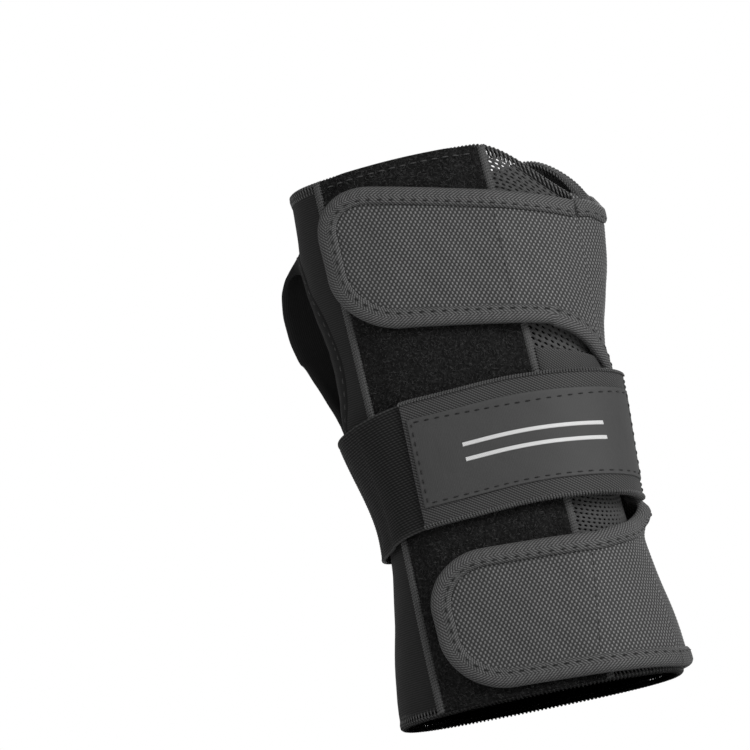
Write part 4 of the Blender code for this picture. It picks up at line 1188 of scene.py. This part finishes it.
def cloth_lift(strap, x, z):
    """Lift of a strap's middle, with soft waves in its cloth and the lower strap's curled corner."""
    v = z - strap_middle(strap, x)
    waves = undulation(x, v, 0.35, 1.6) * smooth((strap_half(strap, x) - np.abs(v)) / 10)
    lift = strap_lift(x) + waves * smooth((YOKE_EDGE - x) / 6)
    return lift + (curl_lift(x, z) if strap is LOWER_STRAP else 0)


def tape_along(name, path, middle_lift):
    """A tape folded over an edge, and the line of its stitches. path has the cloth on its left."""
    path = np.asarray(path, float)
    marks = span(0, run_of(path)[-1], 0.9)
    path = np.stack(at_marks(path, marks), -1)
    tangent = np.gradient(path, axis=0)
    tangent /= np.linalg.norm(tangent, axis=1, keepdims=True)
    inward = np.stack([-tangent[:, 1], tangent[:, 0]], -1)
    out = TAPE_OUTER_HALF
    fold = np.linspace(math.pi / 2, 3 * math.pi / 2, 9)
    front = np.linspace(TAPE_WIDTH, out, 8)
    depth = np.concatenate([front, out + out * np.cos(fold)[1:-1], front[::-1]])
    dome = np.sin(np.linspace(0.08, 0.75, 8) * math.pi) * 0.28
    worn = np.r_[0.55, 0.1, np.zeros(6)]
    height = np.concatenate([out + dome - worn, out * np.sin(fold)[1:-1], worn[::-1] - out])
    depth = np.append(depth, [TAPE_WIDTH - 0.3] * 2)
    height = np.append(height, [-TAPE_INNER_HALF * 0.3, TAPE_INNER_HALF * 0.3])
    pucker = 1 + 0.07 * np.sin(marks * TURN / STITCH_PITCH)[:, None]
    x = path[:, :1] + inward[:, :1] * depth
    z = path[:, 1:] + inward[:, 1:] * depth
    lift = middle_lift(x, z) + height * pucker
    across = run_of(np.stack([depth, height], -1))
    tape = swept(name, PAINT["binding"], on_back(x, z, lift), False, marks, across)
    return tape, path + inward * (TAPE_WIDTH - 1.5)


def strap_outline(strap):
    """The strap's edge: its straight sides and its tip, then along the C, on the cloth's right."""
    radius, start = STRAP_CORNER, strap["tip"] + STRAP_CORNER
    c_edge = smooth_path(C_EDGE_TOP if strap is UPPER_STRAP else C_EDGE_BOTTOM[::-1])
    tape_end = C_TAPE_ENDS[0] if strap is UPPER_STRAP else C_TAPE_ENDS[1]
    c_edge = [(x, z) for x, z in c_edge if (z > tape_end) == (strap is UPPER_STRAP)]
    top_end, bottom_end = (YOKE_EDGE, c_edge[0][0]) if strap is UPPER_STRAP else (c_edge[0][0], YOKE_EDGE)
    top = [(x, strap_middle(strap, x) + strap_half(strap, x)) for x in span(top_end, start, 0.8)]
    bottom = [(x, strap_middle(strap, x) - strap_half(strap, x)) for x in span(start, bottom_end, 0.8)]
    tip = []
    for sign, turned in ((1, 0.0), (-1, math.pi / 2)):
        for angle in np.linspace(turned, turned + math.pi / 2, 30)[1:]:
            x = start - radius * math.sin(angle)
            side = sign * (strap_half(strap, x) - radius)
            tip.append((x, strap_middle(strap, x) + side + radius * math.cos(angle)))
    if strap is UPPER_STRAP:
        return top + tip + bottom[1:] + c_edge[1:]
    return c_edge[::-1] + top[1:] + tip + bottom[1:]


def build_strap(name, strap):
    """A woven strap, sloping down to its root, with its bound edge, stitches and hook pad."""
    tip_x = strap["tip"] + STRAP_INSET
    radius = STRAP_CORNER - STRAP_INSET
    round_tip = tip_x + radius * (1 - np.cos(np.linspace(0, 1, 40)[:-1] * math.pi / 2))
    xs = np.concatenate([round_tip, span(tip_x + radius, YOKE_EDGE - 0.05, 0.36)])
    x, share = grid(xs, span(0, 1, 0.3 / (2 * strap["half"])))
    low, high = strap_edges(strap, x, STRAP_INSET)
    z = low + (high - low) * share
    v = z - strap_middle(strap, x)
    edge = within(z, low, high) + STRAP_INSET
    outer, inner = weave_faces(partial(on_back, x, z), x, v, cloth_lift(strap, x, z))
    hinge = hinge_points(STRAP_ROOT + 0.4, float(strap_middle(strap, STRAP_ROOT)), 2.4, ROOT_LIFT)
    cloth = shell(name + "_weave", PAINT["nylon"], outer, inner, x, v, edge=edge)
    bend(cloth, name, "ballistic_nylon", hinge, name)
    tape, seam = tape_along(name + "_tape", strap_outline(strap), partial(cloth_lift, strap))
    bend(tape, name, "binding_tape", hinge, name + "_binding")
    lines = stitch_lines(seam, on_back, lambda x, z: cloth_lift(strap, x, z) + TAPE_FACE)
    bend(tubes(name + "_tape_stitches", PAINT["stitch"], lines, STITCH_RADII), name, "binding_tape", hinge)
    build_hook_pad(name, strap)


def build_hook_pad(name, strap):
    """The hook pad on a strap's inner side, its hooks, and the stitches that show on the strap's face."""
    inset, root = 8.5, 26.0
    x, share = grid(soft_span(strap["tip"] + inset + 0.3, root, 1.1), np.linspace(-1, 1, 46))
    z = strap_middle(strap, x) + share * strap_reach(strap, x, inset)
    top = cloth_lift(strap, x, z) - 0.75
    pad = shell(name + "_hook_pad", PAINT["hook"], on_back(x, z, top), on_back(x, z, top - 0.75), x, z)
    settle(pad, name, "hook_tape", name + "_hook")
    xs, vs = grid(np.arange(strap["tip"] + inset + 2, root - 0.5, 1.7),
                  np.arange(-strap["half"] + inset + 1, strap["half"] - inset - 0.5, 1.6))
    inside = np.abs(vs) < strap_reach(strap, xs, inset + 0.8)
    xs, vs = xs[inside], vs[inside]
    bow = np.array([(0.0, 0.0), (0.0, 0.35), (0.18, 0.62), (0.42, 0.5)])
    x = xs[:, None] + bow[:, 0]
    z = strap_middle(strap, x) + vs[:, None]
    lines = on_back(x, z, cloth_lift(strap, x, z) - 1.4 - bow[:, 1])
    settle(tubes(name + "_hooks", PAINT["hook"], lines, np.full(4, 0.11), sides=4), name, "hook_tape")
    half = strap["half"] - TAPE_WIDTH - 0.5
    lean = 5.0 if strap is LOWER_STRAP else 1.0
    middle = strap_middle(strap, root)
    path = [(root + 1.5 + lean, middle + half), (root + 1.5, middle - half)]
    lines = stitch_lines(path, on_back, lambda x, z: cloth_lift(strap, x, z) + 0.72, pitch=2.9)
    sew(name + "_pad_stitches", "grey_stitch", lines, name, "ballistic_nylon", 0.8)


def yoke_edge(z):
    """Where the yoke's edge lies across the back: it is cut back in a C between the two straps."""
    across, height = whole_c_edge()[::-1].T
    return np.maximum(np.interp(z, height, across, left=YOKE_EDGE, right=YOKE_EDGE), YOKE_EDGE)


def yoke_cloth_lift(x, z):
    waves = undulation(x, z, 0.3, 1.4) * smooth((x - YOKE_EDGE) / 6)
    return yoke_lift(x) + waves + curl_lift(x, z)


def build_yoke():
    """The woven panel on the little-finger side, and the tape round its C and along its two ends."""
    rows = span(3.4, 188.0, 0.36)
    share, z = grid(np.linspace(0, 1, 110), rows)
    seam, low = PALM_SEAM_ULNAR + 0.4, C_EDGE_TOP[0][1]
    for _ in range(3):
        edge_across = yoke_edge(z) + 1.5 * (yoke_edge(z) > YOKE_EDGE + 0.6)
        s = seam + (from_loop_line(edge_across, z) - seam) * share
        squeeze = np.minimum(1, (top_edge(s) - 1.2 - low) / (rows[-1] - low))
        z = np.where(rows > low, low + (rows - low)[None] * squeeze, rows)
    across = from_loop_line(0.0, z) - s
    outer, inner = weave_faces(partial(skin, s, z), across, z, yoke_cloth_lift(across, z))
    cloth = shell("yoke_weave", PAINT["nylon"], outer, inner, across, z)
    settle(cloth, "sleeve", "ballistic_nylon", "ulnar_yoke")
    high, low = C_TAPE_ENDS
    paths = {"c": [(x, z) for x, z in whole_c_edge() if low - 0.5 < z < high + 0.5], **yoke_ends()}
    for name, path in paths.items():
        tape, stitching = tape_along("yoke_tape_" + name, path, yoke_cloth_lift)
        settle(tape, "sleeve", "binding_tape", *(["yoke_binding"] if name == "c" else []))
        lines = stitch_lines(stitching, on_back, lambda x, z: yoke_cloth_lift(x, z) + TAPE_FACE)
        sew("yoke_stitches_" + name, "stitch", lines, "sleeve", "binding_tape")


def yoke_ends():
    """Paths of the tape along the yoke's top and bottom, from the palm seam to the straps' roots."""
    xs = span(YOKE_EDGE, from_loop_line(0.0, 100.0) - PALM_SEAM_ULNAR - 1, 1.0)
    share = smooth((xs - YOKE_EDGE) / 16)
    root_top = strap_middle(UPPER_STRAP, YOKE_EDGE) + strap_half(UPPER_STRAP, YOKE_EDGE)
    sleeve_top = top_edge(from_loop_line(xs, 172.0)) - 0.5
    root_bottom = strap_middle(LOWER_STRAP, YOKE_EDGE) - strap_half(LOWER_STRAP, YOKE_EDGE)
    top = list(zip(xs, root_top * (1 - share) + sleeve_top * share))[::-1]
    bottom = list(zip(xs, root_bottom + 1.2 * share))
    return {"top": top, "bottom": bottom}


# ---------------------------------------------------------------- elastic and label


def tab_base(across):
    """Inner lift of the elastic's loose end over the loop panel."""
    on_loop = loop_lift(0) + 0.6 + 1.0
    return straight(across, [(TAB_ROOT, 2.4), (TAB_ROOT + 10, on_loop)])


def band_place(d, z, lift):
    """Points of the elastic by the distance from the palm's centre line round the thumb side."""
    half = SECTION.half_girth(z)
    on_tab = from_loop_line(d - band_start_of(0.0), z) - 2 * half
    share = smooth((d - 66) / 18)
    return skin(-d * (1 - share) + on_tab * share, z, lift)


def band_start_of(across):
    """The distance round the thumb side of a point this far across from the loop panel's centre line."""
    return across + 2 * float(SECTION.half_girth(np.array(WRIST))) - float(from_loop_line(0.0, WRIST))


def tab_middle(across):
    """Height of the elastic's middle at a distance across from the loop panel's centre line."""
    return eased(band_start_of(across), BAND_HEIGHTS)


def elastic_piece(name, start, end):
    """The ribbed elastic between two distances from the palm's centre line round the thumb side."""
    d, w = grid(span(start, end, 1.1), soft_span(-ELASTIC_HALF_HEIGHT, ELASTIC_HALF_HEIGHT, 0.23))
    z = eased(d, BAND_HEIGHTS) + w
    across = d - band_start_of(0.0)
    base = np.where(d < band_start_of(TAB_ROOT), straight(np.abs(d), BAND_LIFTS), tab_base(across))
    base = np.where(np.abs(d - band_start_of(TAB_ROOT)) < 3, np.minimum(base, 2.4), base)
    edge = ELASTIC_HALF_HEIGHT - np.abs(w)
    fall = rounded(edge, 0.6)
    rib = 0.5 + 0.5 * np.sin(TURN * w / RIB_PITCH)
    cord = 0.3 * np.exp(-((edge - 0.7) / 0.5) ** 2)
    outer = band_place(d, z, base + ELASTIC_THICKNESS - 0.2 - fall + 0.16 * rib * (edge > 1.2) + cord)
    inner = band_place(d, z, base + fall * 0.5)
    return shell(name, PAINT["elastic"], outer, inner, d, w, edge=edge)


def build_elastic():
    """The elastic from the little-finger seam over the palm, and its loose part, made as a piece of its own.
    """
    split, end = band_start_of(TAB_ROOT - LOOSE_START), band_start_of(TAB_TIP)
    fixed = elastic_piece("elastic_strap", BAND_START, split)
    settle(fixed, "sleeve", "elastic_knit", "elastic_band")
    loose = elastic_piece("elastic_loose_part", split, end)
    start = [float(c) for c in on_back(TAB_ROOT - 6.0, 86.0, 3.1)]
    stop = [float(c) for c in on_back(TAB_ROOT + 5.0, 86.0, 3.1)]
    bend(loose, "elastic_tab", "elastic_knit", (start, stop), "elastic_tab")


def tab_layer(name, material, slot, low, high, half, base, thickness, u_step, v_step, *nodes, radius=0.4):
    """A flat layer sewn on the tab, between two distances across and of this half height."""
    x, w = grid(soft_span(low, high, u_step), soft_span(-half, half, v_step))
    z = tab_middle(x) + w
    edge = np.minimum(within(w, -half, half), within(x, low, high))
    fall = rounded(edge, radius)
    bottom = tab_base(x) + base + undulation(x, w, *LABEL_WAVES) * smooth(edge / 5)
    outer = on_back(x, z, bottom + thickness - fall)
    layer = shell(name, material, outer, on_back(x, z, bottom), x, w, edge=edge)
    return settle(layer, "elastic_tab", slot, *nodes)


def build_tab_layers():
    """The tape, the satin label and the hook pad, with the lines, stitches and threads on them."""
    tab_layer("tab_tape", PAINT["twill"], "twill_tape", -17.0, TAB_TIP, 21.6, ELASTIC_THICKNESS, 1.1, 1.0,
              0.6, "tab_cover")
    tab_layer("label", PAINT["satin"], "label_satin", *LABEL, 15.5, ELASTIC_THICKNESS + 1.05, 0.75, 0.9, 0.7,
              "label_patch", radius=0.3)
    tab_layer("tab_hook_pad", PAINT["hook"], "hook_tape", -16.0, 26.0, 19.0, -1.0, 0.9, 1.2, 1.2, "tab_hook")
    build_woven_line("upper", WOVEN_LINE_OFFSET)
    build_woven_line("lower", -WOVEN_LINE_OFFSET)
    build_tab_stitches()
    build_tab_threads("upper", 1)
    build_tab_threads("lower", -1)


def build_woven_line(name, w):
    """A pale line woven along the label, this far off its middle."""
    half = WOVEN_LINE_HALF
    x, q = grid(soft_span(*WOVEN_LINE, 0.8), soft_span(w - half, w + half, 0.3, ends=(0.0, 0.1, 0.25)))
    z = tab_middle(x) + q
    edge = half - np.abs(q - w)
    base = tab_base(x) + ELASTIC_THICKNESS + 1.7 + undulation(x, q, *LABEL_WAVES)
    outer = on_back(x, z, base + 0.28 - rounded(edge, 0.28))
    line = shell("label_line_" + name, PAINT["silver"], outer, on_back(x, z, base - 0.1), x, q)
    settle(line, "elastic_tab", "label_satin")


def build_tab_stitches():
    """The row of stitches round the label and the bar of close stitches at the tab's tip."""
    low, high, half = LABEL_STITCHES
    corners = [(low, half), (high, half), (high, -half), (low, -half), (low, half)]
    corners = [(x, tab_middle(x) + w) for x, w in corners]
    shares = np.linspace(0, 1, 40)[:-1]
    border = []
    for (x0, z0), (x1, z1) in zip(corners, corners[1:]):
        xs, zs = x0 + (x1 - x0) * shares, z0 + (z1 - z0) * shares
        middle = tab_middle(xs)
        border += list(zip(xs, middle + np.clip(zs - middle, -half, half)))
    label_top = ELASTIC_THICKNESS + 1.85
    lines = stitch_lines(border, on_back, lambda x, z: tab_base(x) + label_top, pitch=3.3)
    sew("label_stitches", "stitch", lines, "elastic_tab", "label_satin", 0.9)
    bar_x, bar_half = 61.6, 20
    bar = [(bar_x, tab_middle(bar_x) + w) for w in (bar_half, -bar_half)]
    tape_top = ELASTIC_THICKNESS + 1.2
    lines = stitch_lines(bar, on_back, lambda x, z: tab_base(x) + tape_top, pitch=1.9, share=0.8)
    sew("tab_bar_tack", "grey_stitch", lines, "elastic_tab", "twill_tape")


def build_tab_threads(name, side):
    """Threads that wrap one long edge of the tab."""
    arc = np.linspace(-0.15, 1.1, 9) * math.pi
    x = np.arange(-16.5, TAB_TIP, 0.9)[:, None] + np.linspace(-0.5, 0.5, 9)
    z = tab_middle(x) + side * (21.4 + 0.75 * np.sin(arc))
    lines = on_back(x, z, tab_base(x) + (ELASTIC_THICKNESS + 0.1 + 1.3 * np.cos(arc)))
    threads = tubes("tab_edge_threads_" + name, PAINT["overlock"], lines, np.full(9, 0.4))
    settle(threads, "elastic_tab", "overlock_thread")


# ---------------------------------------------------------------- palm

def leather_lift(s, z):
    """Inner lift of the leather, which is crowned where the splint lies behind it."""
    return CLEARANCE + (SPLINT_THICKNESS + CLEARANCE) * crown(s, SLIT_HALF_WIDTH) * pocket(z)


def build_leather():
    """The leather panel, crowned over the splint, puckered at its slits, with two rows of stitches."""
    half = SLIT_OPENING / 2
    marks = [LEATHER_HEIGHTS[0]]
    for height in SLIT_HEIGHTS:
        marks += [height - half, height - 0.6, height + 0.6, height + half]
    marks += [LEATHER_HEIGHTS[1]]
    zs = np.concatenate([span(low, high, 0.9)[:-1] for low, high in zip(marks, marks[1:])] + [[marks[-1]]])
    slit = SLIT_HALF_WIDTH
    side = span(slit, LEATHER_HALF_WIDTH, 0.9)
    ss = np.concatenate([-side[::-1], span(-slit, slit, 0.9)[1:-1], side])
    s, z = grid(ss, zs)
    edge = np.minimum(LEATHER_HALF_WIDTH - np.abs(s), within(z, zs[0], zs[-1]))
    fall = rounded(edge, 0.35)
    lift = leather_lift(s, z)
    for height in (SLIT_HEIGHTS[0], SLIT_HEIGHTS[2]):
        corner = np.hypot((np.abs(s) - slit - 1) / 4.0, (z - height) / 5.0)
        lift = lift + 0.8 * np.exp(-corner ** 2) * np.cos((np.abs(s) - slit) * 0.9)
    lip = np.exp(-((z - SLIT_HEIGHTS[2] - half - 1.2) / 1.6) ** 2) * (z > SLIT_HEIGHTS[2])
    lift = lift + 0.8 * lip * crown(s, slit - 4) + undulation(s, z, 0.22, 1.2) * smooth(edge / 8)
    wrinkled = np.exp(-((z - 163) / 9) ** 2) * np.exp(-(s / 26) ** 2)
    lift = lift + 0.1 * np.sin(z * 1.9 + 2 * np.sin(s * 0.12)) * wrinkled
    for row in LEATHER_STITCH_INSETS:
        lift = lift - 0.28 * np.exp(-((edge - row) / 0.7) ** 2)
    slit_low, _, slit_high = SLIT_HEIGHTS
    mid_s, mid_z = ((value[1:, 1:] + value[:-1, :-1]) / 2 for value in (s, z))
    opened = (np.abs(mid_z - slit_high) < half) | (np.abs(mid_z - SLIT_HEIGHTS[1]) < half)
    opened |= np.abs(mid_z - slit_low) < 0.6
    kept = ~(opened & (np.abs(mid_s) < slit))
    leather = shell("leather_palm", PAINT["leather"], skin(s, z, lift + LEATHER_THICKNESS - fall),
                    skin(s, z, lift + fall * 0.5), s, z, edge=edge, kept=kept)
    settle(leather, "sleeve", "synthetic_leather", "leather_palm_panel")

    lines = []
    for inset in LEATHER_STITCH_INSETS:
        x, low, high = LEATHER_HALF_WIDTH - inset, zs[0] + inset, zs[-1] - inset
        corners = [(-x, low), (x, low), (x, high), (-x, high), (-x, low)]
        lines.append(stitch_lines(corners, skin, lambda s, z: leather_lift(s, z) + LEATHER_THICKNESS - 0.12,
                                  pitch=3.9))
    sew("leather_stitches", "stitch", np.concatenate(lines), "sleeve", "synthetic_leather", 1.15)


def build_splint():
    """The glossy splint that runs through the slits and bows over the palm."""
    low, high = SPLINT_HEIGHTS
    corner = SPLINT_CORNER * (1 - np.cos(np.linspace(0, 1, 12)[:-1] * math.pi / 2))
    straight_run = span(low + SPLINT_CORNER, high - SPLINT_CORNER, 1.1)
    rows = np.concatenate([low + corner, straight_run, (high - corner)[::-1]])
    share, z = grid(soft_span(-1, 1, 0.09, ends=(0.0, 0.012, 0.03, 0.06)), rows)
    into = np.maximum(0, np.maximum(low + SPLINT_CORNER - z, z - high + SPLINT_CORNER))
    half = SPLINT_HALF_WIDTH - SPLINT_CORNER + np.sqrt(np.maximum(SPLINT_CORNER ** 2 - into ** 2, 0))
    s = share * half
    edge = np.minimum(half - np.abs(s), within(z, low, high))
    fall = rounded(edge, 0.7)
    base = splint_lift(z)
    splint = shell("splint", PAINT["plastic"], skin(s, z, base + SPLINT_THICKNESS - fall),
                   skin(s, z, base + fall), s, z, edge=edge)
    settle(splint, "sleeve", "splint_plastic", "palm_splint")


def finish_back_splint():
    """The splint behind the loop panel keeps its CAD shape and takes the moulded plastic."""
    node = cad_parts["dorsal_splint"]
    node.data.materials.clear()
    node.data.materials.append(PAINT["plastic"])


# ---------------------------------------------------------------- room, light and camera

def build_floor():
    """A pale floor that shows from above only, because the camera looks up from just under its level."""
    material = bpy.data.materials.new("pale_floor")
    material.use_nodes = True
    tree = material.node_tree
    shader = tree.nodes["Principled BSDF"]
    place = add(tree, "ShaderNodeTexCoord", {})
    cloud = noise(tree, place.outputs["Object"], 0.5)
    tint = add(tree, "ShaderNodeMix", {0: cloud, 6: grey(0.80), 7: grey(0.84)}, data_type="RGBA")
    tree.links.new(tint.outputs[2], shader.inputs["Base Color"])
    shader.inputs["Roughness"].default_value = 0.7
    clear = add(tree, "ShaderNodeBsdfTransparent", {})
    seen_from = add(tree, "ShaderNodeNewGeometry", {})
    shaders = {0: seen_from.outputs["Backfacing"], 1: shader.outputs[0], 2: clear.outputs[0]}
    mix = add(tree, "ShaderNodeMixShader", shaders)
    tree.links.new(mix.outputs[0], tree.nodes["Material Output"].inputs[0])
    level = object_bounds()[0].z - FLOOR_DROP
    corners = [(-FLOOR_HALF, -FLOOR_HALF), (FLOOR_HALF, -FLOOR_HALF), (FLOOR_HALF, FLOOR_HALF),
               (-FLOOR_HALF, FLOOR_HALF)]
    mesh = bpy.data.meshes.new("floor")
    mesh.from_pydata([(x, y, level) for x, y in corners], [], [(0, 1, 2, 3)])
    mesh.materials.append(material)
    floor = bpy.data.objects.new("floor", mesh)
    bpy.context.scene.collection.objects.link(floor)
    floor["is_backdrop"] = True


def guard_centre():
    low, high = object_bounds()
    return (low + high) / 2


def area_light(name, centre, direction, distance, size, power):
    light = bpy.data.lights.new(name, "AREA")
    light.size = size
    light.energy = power
    obj = bpy.data.objects.new(name, light)
    back = Vector(direction).normalized()
    obj.location = centre + back * distance
    obj.rotation_mode = "QUATERNION"
    obj.rotation_quaternion = (-back).to_track_quat("-Z", "Y")
    bpy.context.scene.collection.objects.link(obj)


def build_light():
    """A white backdrop that lights less than it shows, and a soft key from the right."""
    world = bpy.data.worlds.new("studio")
    bpy.context.scene.world = world
    world.use_nodes = True
    tree = world.node_tree
    background = tree.nodes["Background"]
    background.inputs[0].default_value = (1, 1, 1, 1)
    seen = add(tree, "ShaderNodeLightPath", {})
    strength = calc(tree, "MULTIPLY_ADD", seen.outputs["Is Camera Ray"], 1 - WORLD_LIGHT, WORLD_LIGHT)
    tree.links.new(strength, background.inputs[1])
    for name, values in LIGHTS.items():
        area_light(name, guard_centre(), *values)


def build_camera():
    elevation = math.radians(CAMERA_ELEVATION)
    back = Vector((0, -math.cos(elevation), math.sin(elevation)))
    level = (-back).to_track_quat("-Z", "Y")
    turned = level @ Matrix.Rotation(math.radians(-CAMERA_ROLL), 4, "Z").to_quaternion()
    right, up = turned @ Vector((1, 0, 0)), turned @ Vector((0, 1, 0))
    aim = guard_centre() - right * AIM_LEFT + up * AIM_UP
    camera = bpy.data.objects.new("camera", bpy.data.cameras.new("camera"))
    camera.data.lens = CAMERA_LENS
    camera.data.sensor_width = CAMERA_SENSOR
    camera.location = aim + back * CAMERA_DISTANCE
    camera.rotation_mode = "QUATERNION"
    camera.rotation_quaternion = turned
    camera.data.clip_start = 0.05
    bpy.context.scene.view_settings.view_transform = "Standard"
    bpy.context.scene.collection.objects.link(camera)
    bpy.context.scene.camera = camera


# ---------------------------------------------------------------- the guard

build_floor()
build_light()
build_camera()
build_body_panels()
build_thumb_side()
build_thumb_facing()
build_hems()
build_foam_pad()
build_linings()
build_loop_panel()
build_gusset()
build_gusset_tape()
build_yoke()
build_strap("upper_strap", UPPER_STRAP)
build_strap("lower_strap", LOWER_STRAP)
build_elastic()
build_tab_layers()
build_leather()
build_splint()
finish_back_splint()
